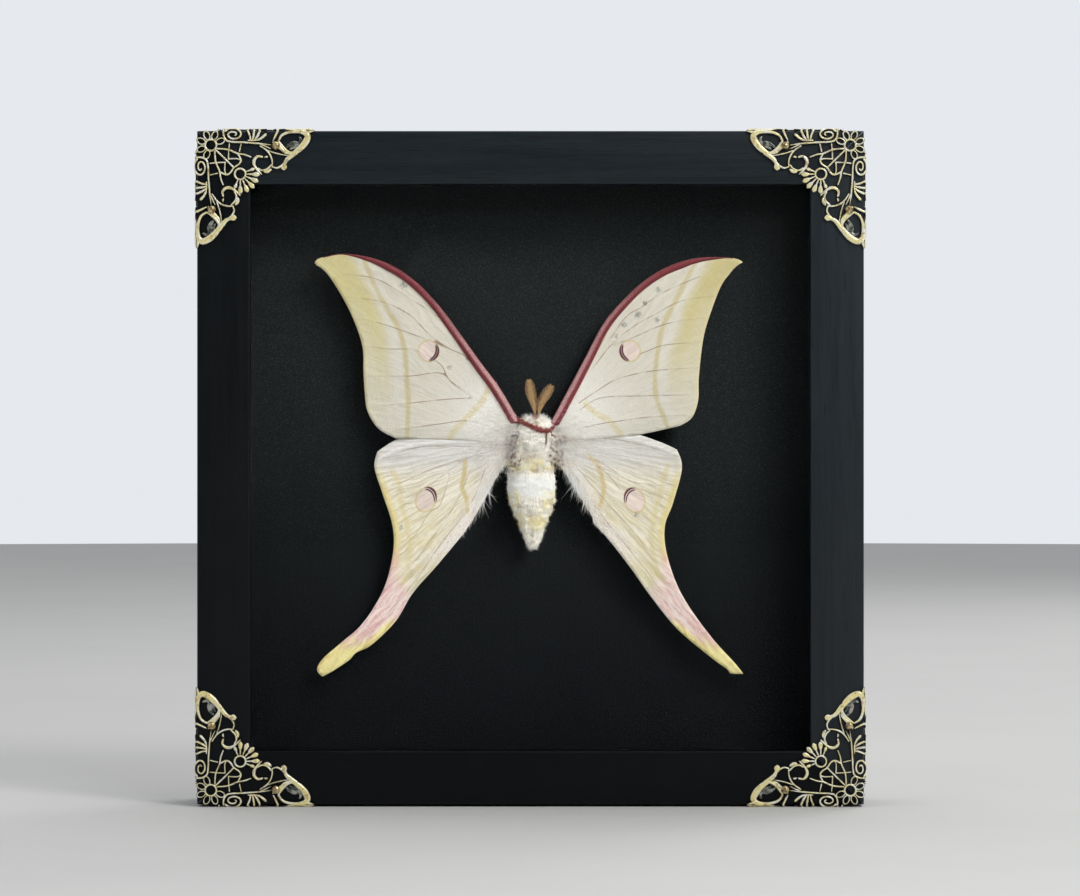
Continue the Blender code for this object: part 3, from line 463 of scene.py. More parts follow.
def blackWood(name, alongX, sheen):                  # sheen: how strongly a satin blue-grey sheen is painted on, as if lit from the upper right
    material, tree = newMaterial(name)
    spot = stretched(tree, place(tree), (1.0, 1.0, 1.0), (0.0, 0.0 if alongX else math.pi / 2, 0.0))
    grain = grained(tree, spot, 620.0, 30.0, 1.3)
    # painted sheen: the blue-grey tone is painted stronger higher up, where light from above falls
    wearAndSheen = ramp(tree, split(tree, place(tree))[2], 0.0, 0.2, sheen * 0.7, sheen * 1.25)
    deep = over(tree, rgb(2, 4, 6), rgb(9, 12, 16), grain["Grain"])
    paintedSheenTone = over(tree, rgb(14, 21, 27), rgb(31, 44, 52), grain["Grain"])
    tone = over(tree, over(tree, deep, paintedSheenTone, wearAndSheen), rgb(3, 4, 5), grain["Pores"])
    tone = dusted(tree, tone, spot, 2600.0, 0.04, rgb(150, 150, 145))
    rough = ramp(tree, grain["Grain"], 0.3, 0.7, 0.36, 0.48)
    return finish(material, tone, rough, grain["Grain"], 0.4, 0.00005,
                  {"Specular IOR Level": 0.16 + 0.29 * sheen})


def railProfile():                                   # (in from the outer face, back from the front face)
    r, face, wall, lip, chamfer = (rails[key] for key in ("edgeRound", "face", "wall", "lip", "backChamfer"))
    depth = backY - frontY
    turns = [math.radians(90 * k / rails["roundSteps"]) for k in range(rails["roundSteps"] + 1)]
    outer = [(r - r * math.cos(t), r - r * math.sin(t)) for t in turns]
    inner = [(face - r + r * math.sin(t), r - r * math.cos(t)) for t in turns]
    return [*outer, *inner, (face, lip), (wall, lip), (wall, depth), (chamfer, depth), (0.0, depth - chamfer)]


def buildRails():
    profile = railProfile()
    halfWidth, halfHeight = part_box("frame_rail_right")[1][0], (topZ - bottomZ) / 2
    for side in ("top", "bottom", "left", "right"):
        alongX, sign = side in ("top", "bottom"), 1 if side in ("top", "right") else -1
        halfLength, halfAcross = (halfWidth, halfHeight) if alongX else (halfHeight, halfWidth)
        verts = []
        for step in np.linspace(-1, 1, rails["rings"]):
            for inward, depth in profile:
                along = step * (halfLength - inward - rails["hairlineMitre"])
                across = sign * (halfAcross - inward)
                x, z = (along, across) if alongX else (across, along)
                verts.append((x, frontY + depth, middleZ + z))
        wood = blackWood("blackWood" + side.title(), alongX, rails["sheen"][side])
        piece = newPiece("rail" + side.title(), verts, ringFaces(0, rails["rings"], len(profile)), wood,
                         slot="black_wood", replaced=["frame_rail_" + side])
        piece.data.set_sharp_from_angle(angle=math.radians(rails["sharpAbove"]))
    print("stage: rails")


def clearGlass():                                    # reflects weakly and casts no shadow
    material, tree = newMaterial("clearGlass")
    finish(material, (1.0, 1.0, 1.0, 1.0), 0.0, plain={"IOR": 1.06, "Transmission Weight": 1.0})
    shadowRay = put(tree, "ShaderNodeLightPath").outputs["Is Shadow Ray"]
    through = put(tree, "ShaderNodeBsdfTransparent").outputs[0]
    glass = tree.nodes["Principled BSDF"].outputs[0]
    mixed = put(tree, "ShaderNodeMixShader", {0: shadowRay, 1: glass, 2: through}).outputs[0]
    connect(tree, tree.nodes["Material Output"], {"Surface": mixed})
    return material


def blackFelt():
    material, tree = newMaterial("blackFelt")
    spot = place(tree)
    fibres = speckle(tree, stretched(tree, spot, (1.0, 1.0, 1.0), (0.3, 0.7, 0.2)), 2600.0, 3.0, 0.7)
    paintedLightTowardsTop = ramp(tree, split(tree, spot)[2], 0.02, 0.15)        # painted shade: the pile is painted darker towards the bottom and paler towards the top
    pile = over(tree, rgb(3, 6, 10), rgb(27, 30, 30), paintedLightTowardsTop)
    knot = over(tree, rgb(30, 34, 38), rgb(58, 63, 65), paintedLightTowardsTop)
    tone = over(tree, pile, knot, ramp(tree, fibres, 0.47, 0.7, 0.0, 0.75))
    lint = ramp(tree, speckle(tree, spot, 3200.0, 1.0), 0.74, 0.82, 0.0, 0.3)
    tone = over(tree, tone, rgb(110, 108, 100), lint)
    return finish(material, tone, 0.95, fibres, 0.6, plain={"Specular IOR Level": 0.15})


def blackCard():
    return speckledFinish("blackCard", rgb(14, 14, 15), rgb(30, 30, 30), 1800.0, 0.85, 0.3)


def driedGlue():
    return speckledFinish("driedGlue", rgb(150, 122, 70), rgb(196, 172, 116), 700.0, 0.25, 0.3, 0.0002)


def hardboard():
    material, tree = newMaterial("hardboard")
    spot = place(tree)
    pulp = grained(tree, spot, 500.0, 1.6, 1.8)["Grain"]
    clouds = ramp(tree, speckle(tree, spot, 25.0, 4.0), 0.4, 0.8, 0.0, 0.6)
    tone = over(tree, over(tree, rgb(96, 66, 42), rgb(150, 112, 76), pulp), rgb(78, 52, 34), clouds)
    tone = dusted(tree, tone, spot, 1200.0, 0.25, rgb(190, 175, 150))
    return finish(material, tone, 0.75, pulp, 0.4, 0.0001)


def zincSteel():
    material, tree = newMaterial("zincSteel")
    spot = place(tree)
    lines = grained(tree, spot, 1500.0, 14.0, 1.2)["Grain"]
    bloom = ramp(tree, speckle(tree, spot, 420.0, 5.0), 0.45, 0.75)
    tone = over(tree, over(tree, rgb(150, 150, 146), rgb(186, 187, 184), lines), rgb(112, 108, 98), bloom)
    rough = ramp(tree, bloom, 0.0, 1.0, 0.3, 0.6)
    return finish(material, tone, rough, lines, 0.2, 0.00005, {"Metallic": 1.0})


def dressKeptNodes():                                # CAD nodes whose shape is right only get their finish
    steel = zincSteel()
    finishes = {"glass_pane": clearGlass(), "mount_board": blackFelt(), "back_board": hardboard(),
                "glue_dab": driedGlue(), "spacer_": blackCard(), "retaining_tab_": steel, "sawtooth_": steel,
                "hanger_nail_": steel}
    for name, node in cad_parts.items():
        for beginning, material in finishes.items():
            if name.startswith(beginning):
                for k in range(len(node.data.materials)):
                    node.data.materials[k] = material
    print("stage: boards, glass and steel")


# Brass corners: strokes are (along the arm, in from the edge, half width), in millimetres from the corner

brass = {"gap": 0.3, "sheet": 0.4, "wall": 0.45, "sampling": 0.4, "sides": 7, "frontCrown": 0.5,
         "sideCrown": 0.18, "dullCrown": 0.1, "ringCorners": 20, "ringWidth": 0.38,
         "diagonal": [(5.6, 5.7, .34), (8.2, 8.2, .36), (11.2, 11.2, .34)]}
flower = {"centre": (4.2, 4.35), "radius": 1.7, "petals": 8, "leftOut": 2, "firstTurn": 22.5, "petalAt": 3.1,
          "petalRadius": 0.85, "petalWidth": 0.28, "petalStretch": 1.55}
shell = {"centre": (13.0, 13.0), "radius": 1.65, "lobes": 7, "axis": 45, "lobeStep": 22.0,
         "stem": [(1.9, .26), (2.8, .34), (3.5, .3)], "longLobe": (5.3, .68, .84), "shortLobe": (4.3, .5, .6)}
spiral = {"centre": (10.95, 1.15), "points": 26, "start": -2.6, "sweep": 9.6, "wide": (2.85, 2.1),
          "high": (2.35, 1.9), "squash": 0.85, "halfWidth": (0.4, 0.08)}

armStrokes = [
    [(8.0, 0.0, .36), (8.1, 1.6, .38), (9.0, 3.0, .38), (11.0, 3.4, .36), (13.7, 3.5, .36), (16.5, 3.7, .36),
     (19.0, 3.9, .34), (22.2, 4.3, .2)],
    [(19.2, 4.1, .3), (20.8, 4.8, .28), (22.2, 5.5, .18)],
    [(15.4, 2.9, .3), (17.0, 2.95, .34), (18.8, 2.8, .26)],
    [(16.1, 2.9, .34), (15.9, 1.5, .4), (15.2, -0.1, .36)],
    [(16.7, 2.9, .34), (17.0, 1.5, .42), (17.2, -0.1, .4)],
    [(17.3, 2.9, .34), (18.2, 1.6, .44), (18.9, 0.1, .42)],
    [(17.9, 2.9, .3), (19.3, 2.3, .44), (20.6, 1.2, .5)],
    [(22.9, 2.9, .26), (23.6, 1.5, .42), (24.3, 0.0, .42)],
    [(24.5, 3.0, .4), (25.4, 1.5, .46), (27.2, 0.6, .5), (29.6, 0.3, .56), (32.0, 0.5, .8), (33.2, 1.6, 1.0),
     (32.7, 3.2, 1.1), (31.5, 4.8, 1.05), (30.0, 6.1, .9), (28.5, 6.8, .6), (27.0, 6.1, .5), (25.7, 4.8, .48),
     (24.5, 3.2, .4)],
    [(23.0, 3.6, .5), (24.4, 4.4, .85), (25.4, 5.5, .6), (26.6, 6.6, .5), (28.2, 6.9, .3)],
    [(32.8, 0.6, .6), (34.0, 0.35, .45), (35.1, 0.1, .2)],
    [(29.8, 6.5, .8), (28.0, 7.8, .8), (26.9, 8.8, .7), (26.4, 9.8, .6), (26.2, 10.2, .85),
     (26.1, 10.6, 1.02), (26.1, 11.0, 1.05), (26.1, 11.4, .9), (26.1, 11.7, .6), (26.1, 11.8, .3)],
    [(22.6, 10.8, .3), (24.0, 11.2, .36), (25.5, 10.5, .4)],
    [(19.0, 4.6, .3), (20.9, 5.9, .34), (22.0, 7.3, .36), (22.6, 9.1, .34), (22.6, 10.9, .3)],
    [(21.4, 6.0, .26), (23.4, 6.7, .3), (25.6, 7.2, .28), (27.6, 7.5, .2)],
    [(19.6, 7.9, .4), (18.3, 7.7, .46), (17.3, 8.6, .56), (17.1, 9.8, .56), (17.6, 11.0, .46),
     (18.5, 12.1, .4), (19.4, 13.0, .28)],
    [(18.3, 11.3, .34), (19.6, 11.9, .38), (21.1, 11.5, .38), (22.3, 10.3, .34)],
    [(20.3, 12.3, .42), (21.2, 12.3, .6), (22.1, 11.7, .46)],
    [(20.4, 8.0, .3), (20.8, 7.8, .42), (21.2, 7.9, .28)],
]
dullStrokes = [
    [(26.8, 5.0, .3), (27.9, 4.2, .6), (29.3, 3.8, .8), (30.5, 4.0, .7), (31.2, 3.0, .5), (30.8, 1.9, .3)],
    [(28.0, 5.5, .3), (29.0, 5.0, .45), (30.0, 5.0, .3)],
]
frontOnlyStrokes = [
    [(6.1, 5.4, .34), (9.4, 5.7, .36), (12.1, 6.8, .36), (14.3, 7.2, .34), (16.2, 7.9, .3)],
    [(9.8, 4.0, .28), (9.6, 6.0, .3), (9.5, 8.5, .3)],
    [(9.5, 8.5, .3), (12.0, 8.4, .3), (13.1, 8.8, .32)],
    [(13.3, 4.0, .28), (12.8, 6.2, .3)],
    [(12.4, 7.0, .34), (13.2, 8.8, .38), (12.7, 10.0, .38), (11.2, 11.0, .34)],
]
sideOnlyStrokes = [
    [(6.6, 0.3, .4), (6.6, 4.2, .42), (7.2, 8.8, .45), (10.4, 12.8, .48), (16.0, 15.0, .5), (22.0, 12.9, .5),
     (26.2, 10.4, .45)],
    [(6.7, 5.2, .3), (10.2, 5.6, .32), (13.6, 7.0, .32), (17.0, 8.8, .3)],
    [(7.4, 9.0, .3), (11.2, 9.4, .32), (14.6, 10.6, .32), (18.2, 12.0, .3)],
    [(12.2, 3.6, .28), (11.4, 7.6, .3), (12.4, 11.4, .3), (13.8, 14.2, .3)],
]


def spiralStroke():
    (x, z), wide, high, thick = (spiral[key] for key in ("centre", "wide", "high", "halfWidth"))
    stroke = []
    for t in np.linspace(0, 1, spiral["points"]):
        turn = spiral["start"] + spiral["sweep"] * t
        reachX, reachZ = wide[0] - wide[1] * t, (high[0] - high[1] * t) * spiral["squash"]
        stroke.append((x + reachX * math.cos(turn), z + reachZ * math.sin(turn), thick[0] - thick[1] * t))
    return stroke


def ringStroke(centre, radius, halfWidth, stretch=1.0, angle=0.0):
    c, s = math.cos(angle), math.sin(angle)
    corners = [(radius * stretch * x, radius * y) for x, y in turnsOf(brass["ringCorners"])]
    ring = [(centre[0] + x * c - y * s, centre[1] + x * s + y * c, halfWidth) for x, y in corners]
    return ring + ring[:1]


def spokeStroke(centre, angle, steps):
    c, s = math.cos(angle), math.sin(angle)
    return [(centre[0] + r * c, centre[1] + r * s, halfWidth) for r, halfWidth in steps]


def middleStrokes():                                 # the flower and the shell on the diagonal
    centre, core = flower["centre"], shell["centre"]
    strokes = [ringStroke(centre, flower["radius"], brass["ringWidth"])]
    for k in range(flower["leftOut"], flower["petals"]):
        angle = math.radians(flower["firstTurn"] + 360 / flower["petals"] * k)
        (x, y, halfWidth), = spokeStroke(centre, angle, [(flower["petalAt"], flower["petalWidth"])])
        strokes.append(ringStroke((x, y), flower["petalRadius"], halfWidth, flower["petalStretch"], angle))
    strokes += [brass["diagonal"], ringStroke(core, shell["radius"], brass["ringWidth"])]
    for k in range(shell["lobes"]):
        turn = k - (shell["lobes"] - 1) / 2
        angle = math.radians(shell["axis"] + shell["lobeStep"] * turn)
        reach, wide, tip = shell["longLobe" if abs(turn) < 3 else "shortLobe"]
        strokes.append(spokeStroke(core, angle, shell["stem"]))
        strokes.append(spokeStroke(core, angle, [(3.5, .36), (reach - 1.1, wide), (reach - 0.1, tip)]))
    return strokes


def foldOver(u, v, height):                          # from the flat pattern to the box's three faces
    bend = brass["gap"] + brass["sheet"] / 2

    def turn(length):
        if length >= 0:
            return length, -bend - height
        angle = min(-length / bend, math.pi / 2)
        sideHeight = min(height, brass["sideCrown"])
        radius = bend + height + (sideHeight - height) * angle / (math.pi / 2)
        return -radius * math.sin(angle), -radius * math.cos(angle) + max(0.0, -length - bend * math.pi / 2)

    if u < 0:
        a, y = turn(u)
        return a, y, v
    b, y = turn(v)
    return u, y, b


def sweepStroke(stroke, crown, onBox, verts, faces, relief, dulled=False):
    closed = math.dist(stroke[0][:2], stroke[-1][:2]) < 1e-6
    line = smoothLine(stroke, brass["sampling"])
    tangents = np.gradient(line[:, :2], axis=0)
    if closed:
        tangents[0] = tangents[-1] = line[1, :2] - line[-2, :2]
    tangents /= np.maximum(np.linalg.norm(tangents, axis=1), 1e-9)[:, None]
    low, sides, start = -brass["sheet"] / 2, brass["sides"], len(verts)
    wall = brass["sheet"] * brass["wall"]
    stations = [(k, 1.0, 0.0) for k in range(len(line) - 1 if closed else len(line))]
    if not closed:                                   # rounded ends, one small ring beyond each end
        stations = [(0, 0.35, -0.85), *stations, (len(line) - 1, 0.35, 0.85)]
    for k, narrow, beyond in stations:
        x, y, half = line[k]
        tx, ty = tangents[k]
        x, y = x + tx * half * beyond, y + ty * half * beyond
        top = min(crown, half * 1.5) * (0.4 + 0.6 * narrow)
        for s in range(sides):
            t = math.pi * s / (sides - 1)
            across = math.cos(t) * half * narrow
            height = low + wall * (0 < s < sides - 1) + (top - low - wall) * math.sin(t)
            verts.append(onBox(x - ty * across, y + tx * across, height))
            relief.append(9.0 if dulled else half * narrow * (1 - abs(math.cos(t))))
    faces += ringFaces(start, len(stations), sides, closed)


def agedBrass(name, tarnishAndShade):
    material, tree = newMaterial(name)
    spot = place(tree)
    inward = stored(tree, "relief")                  # millimetres in from the stroke's edge
    blotch = speckle(tree, spot, 420.0, 5.0)
    stain = speckle(tree, vectorCalc(tree, "ADD", spot, (0.05, 0.02, 0.03)), 640.0, 4.0)
    fine = speckle(tree, spot, 3200.0)
    # dark rim at each stroke's edge: partly patina in the hollows, partly painted shade where the stroke
    # meets the wood
    clearOfPatinaAndShade = ramp(tree, wobbled(tree, inward, blotch, 0.3), 0.03 + tarnishAndShade, 0.2 + tarnishAndShade)
    polished = over(tree, rgb(255, 244, 188), rgb(255, 255, 244), ramp(tree, blotch, 0.44, 0.6, 0.0, 0.8))
    polished = over(tree, polished, rgb(255, 236, 150), ramp(tree, inward, 0.3, 0.75, 0.0, 0.75))
    polished = over(tree, polished, rgb(170, 140, 84), ramp(tree, stain, 0.52, 0.68, 0.0, 0.7))
    tone = over(tree, rgb(22, 18, 11), polished, clearOfPatinaAndShade)
    tone = over(tree, tone, rgb(120, 88, 40), ramp(tree, fine, 0.6, 0.8, 0.0, 0.35))
    grey = over(tree, rgb(62, 66, 62), rgb(168, 170, 158), ramp(tree, stain, 0.4, 0.62))
    tone = over(tree, tone, grey, ramp(tree, inward, 4.0, 5.0))
    tone = dusted(tree, tone, spot, 2800.0, 0.15, rgb(200, 195, 180))
    return finish(material, tone, ramp(tree, clearOfPatinaAndShade, 0.0, 1.0, 0.6, 0.26), fine, 0.25, 0.00006,
                  {"Metallic": 0.12, "Specular IOR Level": 0.9})


def buildCorner(level, side, material):
    node = f"corner_ornament_{level}_{side}"
    low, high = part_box(node)
    edge = (brass["gap"] + brass["sheet"]) * mm
    signX, signZ = (1 if side == "right" else -1), (1 if level == "top" else -1)
    cornerX = high[0] - edge if signX > 0 else low[0] + edge
    cornerZ = high[2] - edge if signZ > 0 else low[2] + edge
    verts, faces, relief = [], [], []

    def lay(strokes, crown, swap=False, mirror=1, dulled=False):
        def onBox(x, y, height):
            u, v = (mirror * y, x) if swap else (x, mirror * y)
            a, depth, b = foldOver(u, v, height)
            return cornerX - signX * a * mm, frontY + depth * mm, cornerZ - signZ * b * mm
        for stroke in strokes:
            sweepStroke(stroke, crown, onBox, verts, faces, relief, dulled)

    lay(middleStrokes(), brass["frontCrown"])
    for swap in (False, True):
        lay([*armStrokes, *frontOnlyStrokes, spiralStroke()], brass["frontCrown"], swap)
        lay(dullStrokes, brass["dullCrown"], swap, dulled=True)
        lay(armStrokes + sideOnlyStrokes, brass["sideCrown"], swap, -1)
    newPiece(f"brassCorner{level.title()}{side.title()}", verts, faces, material, {"relief": relief},
             slot="old_brass", replaced=[node])


def buildCorners():
    # the bottom pair gets wider dark stroke edges: partly tarnish, partly painted shade, as the lower corners
    # sit in less light
    for level, tarnishAndShade in (("top", 0.02), ("bottom", 0.05)):
        material = agedBrass("agedBrass" + level.title(), tarnishAndShade)
        for side in ("left", "right"):
            buildCorner(level, side, material)
    print("stage: brass corners")


tacks = {"count": 8, "radius": 1.2 * mm, "height": 0.9 * mm}


def tackBrass():
    material, tree = newMaterial("tackBrass")
    spot = place(tree)
    wearAndSheen = ramp(tree, speckle(tree, spot, 900.0, 4.0), 0.35, 0.7)
    tone = over(tree, rgb(112, 88, 54), rgb(246, 226, 174), wearAndSheen)
    return finish(material, tone, ramp(tree, wearAndSheen, 0.0, 1.0, 0.4, 0.2), speckle(tree, spot, 2500.0, 2.0), 0.2,
                  0.00006, {"Metallic": 0.65})


def makeTackTree():                                  # a domed head on each point
    tree, given, result = newTree("GeometryNodeTree", "tacksOnPoints", {
        "Geometry": "Geometry", "Head Radius": 0.00125, "Head Height": 0.0009, "Seed": 3,
        "Tack Material": "Material"}, {"Geometry": "Geometry"})
    ball = put(tree, "GeometryNodeMeshUVSphere", {"Segments": 20, "Rings": 14, "Radius": 1.0}).outputs["Mesh"]
    spot = split(tree, put(tree, "GeometryNodeInputPosition").outputs[0])
    raised = combine(tree, spot[0], spot[1], calc(tree, "MAXIMUM", spot[2], 0.0))
    dome = put(tree, "GeometryNodeSetPosition", {"Geometry": ball, "Position": raised}).outputs[0]
    wide = times(tree, given["Head Radius"], randomField(tree, 0.95, 1.05, given["Seed"]))
    size = combine(tree, wide, wide, given["Head Height"])
    copies = copiesOn(tree, given["Geometry"], dome, (math.pi / 2, 0.0, 0.0), size)
    connect(tree, result, {0: realAndPainted(tree, copies, given["Tack Material"])})
    return tree


def buildTacks():
    names = [f"corner_tack_{n + 1}" for n in range(tacks["count"])]
    spots = []
    for name in names:
        low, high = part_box(name)
        spots.append(((low[0] + high[0]) / 2, low[1] + tacks["height"], (low[2] + high[2]) / 2))
    heads = grow(newPiece("tackSpots", spots, []), makeTackTree(), {
        "Head Radius": tacks["radius"], "Head Height": tacks["height"], "Tack Material": tackBrass()},
        "cornerTacks", names)
    heads.data.shade_smooth()
    print("stage: tacks")


# The moth, in millimetres from the middle of its thorax: x to the right, z up

moth = {"x": 1.3 * mm, "z": bottomZ + 109.3 * mm, "height": 6.9 * mm, "foreLift": 0.6, "hindLift": -0.3,
        "thickness": 0.14, "meshSize": 0.85, "edgeSize": 0.7, "veinSize": 0.8, "edgeGap": 0.45,
        "veinGap": 0.35, "veinRise": 0.07, "eyeTilt": 0.42, "eyeSquash": 0.78, "farAway": 9.0}


def mothPoint(x, lift, z):
    return moth["x"] + x * mm, feltY - moth["height"] - lift * mm, moth["z"] + z * mm


def wingLift(x, z):                                  # the same waves and tail drop as the solids have
    waves = 0.22 * np.sin(x * 0.16 + z * 0.05) + 0.16 * np.sin(z * 0.21 - x * 0.07)
    tail = -1.6 * np.maximum(0.0, (-z - 30) / 42) ** 1.5
    return waves * np.minimum(1.0, np.abs(x) / 12) + tail


foreLeft = {
    "name": "forewingLeft", "node": "forewing_left", "side": -1, "hind": False, "dull": 0.2,
    "leading": [(-5.0, 6.3), (-10.6, 15.8), (-16.7, 24.0), (-22.8, 32.5), (-28.8, 40.5), (-34.9, 47.0),
                (-41.0, 51.7), (-47.0, 54.5), (-53.1, 56.0), (-58.6, 56.5), (-62.8, 55.8), (-65.9, 54.9),
                (-66.8, 53.8)],
    "outer": [(-66.8, 53.8), (-66.1, 52.9), (-64.8, 52.2), (-61.6, 48.6), (-56.1, 39.0), (-52.4, 28.8),
              (-52.0, 20.9), (-51.6, 14.3), (-50.8, 8.8), (-47.5, 3.5), (-42.2, 0.5)],
    "inner": [(-42.2, 0.5), (-28.8, 0.2), (-16.7, -0.3), (-7.4, -0.6), (-5.0, 1.0)],
    "veins": [[(-19.4, 23.6), (-21.4, 25.6), (-25.8, 27.6), (-34.9, 31.3), (-50.1, 36.3),
               (-57.4, 36.4)],
              [(-25.8, 27.6), (-31.9, 31.9), (-37.9, 37.9), (-46.4, 41.9), (-57.7, 43.4)],
              [(-28.8, 37.0), (-33.4, 40.1), (-41.0, 44.9), (-48.3, 48.9), (-58.0, 50.4)],
              [(-15.8, 10.9), (-18.2, 12.7), (-24.3, 16.7), (-28.8, 20.3), (-37.9, 19.4), (-51.3, 19.4)],
              [(-18.2, 12.7), (-26.4, 12.4), (-37.9, 11.2), (-50.7, 10.0)],
              [(-10.6, 3.0), (-19.7, 5.8), (-28.8, 4.9), (-44.0, 2.7)],
              [(-21.5, 15.0), (-26.1, 18.5), (-28.8, 23.1), (-36.4, 27.3), (-44.0, 27.6), (-51.9, 28.5)]],
    "band": [(-51.8, 54.5), (-48.9, 47.6), (-45.5, 41.0), (-41.6, 34.3), (-39.5, 27.3), (-38.5, 15.2),
             (-38.4, 8.2), (-38.8, 0.4)],
    "baseBand": [(-14.0, 15.6), (-16.1, 11.5), (-17.9, 9.7), (-21.9, 5.5), (-24.3, 3.0), (-26.1, 0.3)],
    "yellow": [(-55.5, 56.6), (-51.6, 48.6), (-48.3, 42.5), (-46.4, 36.4), (-44.6, 30.3), (-43.1, 18.2),
               (-44.0, 12.1), (-46.2, 6.1), (-50.5, 3.9)],
    "eye": (-32.2, 27.0, 3.25), "eyeSide": (0.92, -0.39), "ribRoot": [(-4.4, 5.5)],
    "smudges": [(-39.7, 47.1, 1.5), (-26.0, 22.0, 0.9), (-20.4, 24.6, 0.7)],
}
foreRight = {
    "name": "forewingRight", "node": "forewing_right", "side": 1, "hind": False, "dull": 0.2,
    "leading": [(5.0, 6.0), (8.3, 12.1), (14.8, 24.3), (20.6, 35.2), (26.2, 41.9), (31.9, 47.3),
                (37.9, 51.4), (44.0, 54.0), (50.1, 55.3), (57.7, 55.4), (61.6, 54.8), (63.0, 53.9)],
    "outer": [(63.0, 53.9), (61.0, 52.6), (58.9, 50.2), (56.4, 46.6), (53.4, 38.9), (51.1, 30.9),
              (49.7, 19.2), (49.5, 12.1), (47.6, 6.8), (44.0, 4.3)],
    "inner": [(44.0, 4.3), (31.4, 1.6), (19.7, 0.5), (7.4, 0.2), (5.0, 1.4)],
    "veins": [[(17.6, 21.8), (20.2, 25.2), (23.1, 28.8), (28.8, 33.7), (34.9, 37.3), (44.6, 42.2),
               (55.5, 43.7)],
              [(23.1, 31.0), (27.6, 37.3), (31.9, 40.1), (39.2, 44.9), (50.0, 49.6)],
              [(24.0, 28.8), (29.4, 30.9), (37.9, 34.6), (44.0, 36.1), (51.6, 37.0)],
              [(27.4, 24.0), (33.4, 26.7), (39.5, 28.8), (50.7, 29.7)],
              [(13.4, 11.3), (19.7, 15.5), (24.3, 18.2), (30.3, 20.0), (37.9, 21.2), (49.5, 21.9)],
              [(13.7, 9.1), (19.7, 12.7), (31.9, 13.4), (48.9, 13.7)],
              [(11.2, 3.0), (19.7, 4.9), (25.8, 5.8), (34.9, 7.0), (46.4, 7.6)]],
    "band": [(49.4, 54.8), (45.2, 47.3), (41.9, 40.7), (38.8, 34.6), (37.3, 27.3), (36.4, 19.7), (36.9, 12.7),
             (39.2, 6.7), (40.4, 3.4)],
    "baseBand": [(15.2, 10.9), (17.6, 8.8), (20.6, 7.0), (23.4, 5.2), (26.4, 1.1)],
    "yellow": [(53.1, 56.0), (49.5, 48.6), (45.8, 42.5), (44.0, 36.4), (42.2, 30.3), (40.4, 24.3),
               (40.4, 18.2), (41.0, 12.1), (44.0, 6.2), (48.5, 5.2)],
    "eye": (28.8, 27.0, 3.25), "eyeSide": (-0.93, -0.36), "ribRoot": [(5.0, 4.5)],
    "smudges": [(37.4, 45.6, 1.0), (31.2, 38.0, 1.3), (27.1, 34.9, 1.1), (37.0, 36.3, 1.0), (24.6, 31.6, 0.9),
                (33.4, 41.4, 1.0)],
}
hindLeft = {
    "name": "hindwingLeft", "node": "hindwing_left", "side": -1, "hind": True, "dull": 0.0,
    "leading": [(-3.0, 1.6), (-16.7, 2.6), (-31.9, 2.7), (-40.5, 0.7), (-44.0, -0.9), (-47.8, -3.5)],
    "outer": [(-47.8, -3.5), (-48.7, -8.2), (-46.3, -16.1), (-43.4, -25.2), (-42.9, -32.8), (-44.9, -42.5),
              (-48.3, -49.8), (-53.1, -56.5), (-59.2, -61.8), (-64.6, -66.6), (-66.2, -69.8), (-64.6, -71.9)],
    "inner": [(-64.6, -71.9), (-61.6, -70.3), (-56.5, -66.9), (-54.3, -64.6), (-49.5, -62.1), (-42.2, -54.9),
              (-37.0, -46.4), (-28.8, -37.0), (-20.3, -26.4), (-13.7, -15.2), (-9.6, -8.2), (-4.0, -5.0)],
    "veins": [[(-9.1, -3.6), (-21.2, -5.5), (-31.9, -9.1), (-41.0, -13.1), (-46.4, -15.0)],
              [(-10.6, -4.9), (-19.7, -5.2), (-27.3, -10.3), (-32.5, -14.0), (-37.9, -18.2), (-43.1, -23.1)],
              [(-25.8, -10.6), (-28.8, -19.7), (-31.9, -21.9), (-36.4, -28.8), (-42.7, -35.2)],
              [(-19.7, -9.1), (-24.3, -19.7), (-33.4, -32.8), (-40.1, -41.0), (-45.4, -45.6)],
              [(-15.2, -9.1), (-19.7, -19.7), (-28.8, -31.9), (-37.3, -44.0), (-50.1, -58.9)],
              [(-9.6, -2.4), (-28.8, -1.8), (-37.9, -2.7), (-47.4, -6.1)]],
    "fold": [(-10.6, -0.6), (-28.8, -0.6), (-37.9, -1.7), (-44.0, -3.6), (-47.6, -6.0)],
    "band": [(-43.4, -9.1), (-41.3, -13.1), (-40.7, -18.2), (-38.5, -27.3), (-38.2, -36.4), (-41.0, -44.0)],
    "baseBand": [(-21.2, -6.1), (-21.5, -10.6), (-22.2, -14.3), (-20.9, -17.3), (-20.3, -21.9)],
    "eye": (-33.0, -18.0, 3.1), "eyeSide": (0.75, 0.66), "smudges": [(-40.6, -26.5, 0.9)],
}
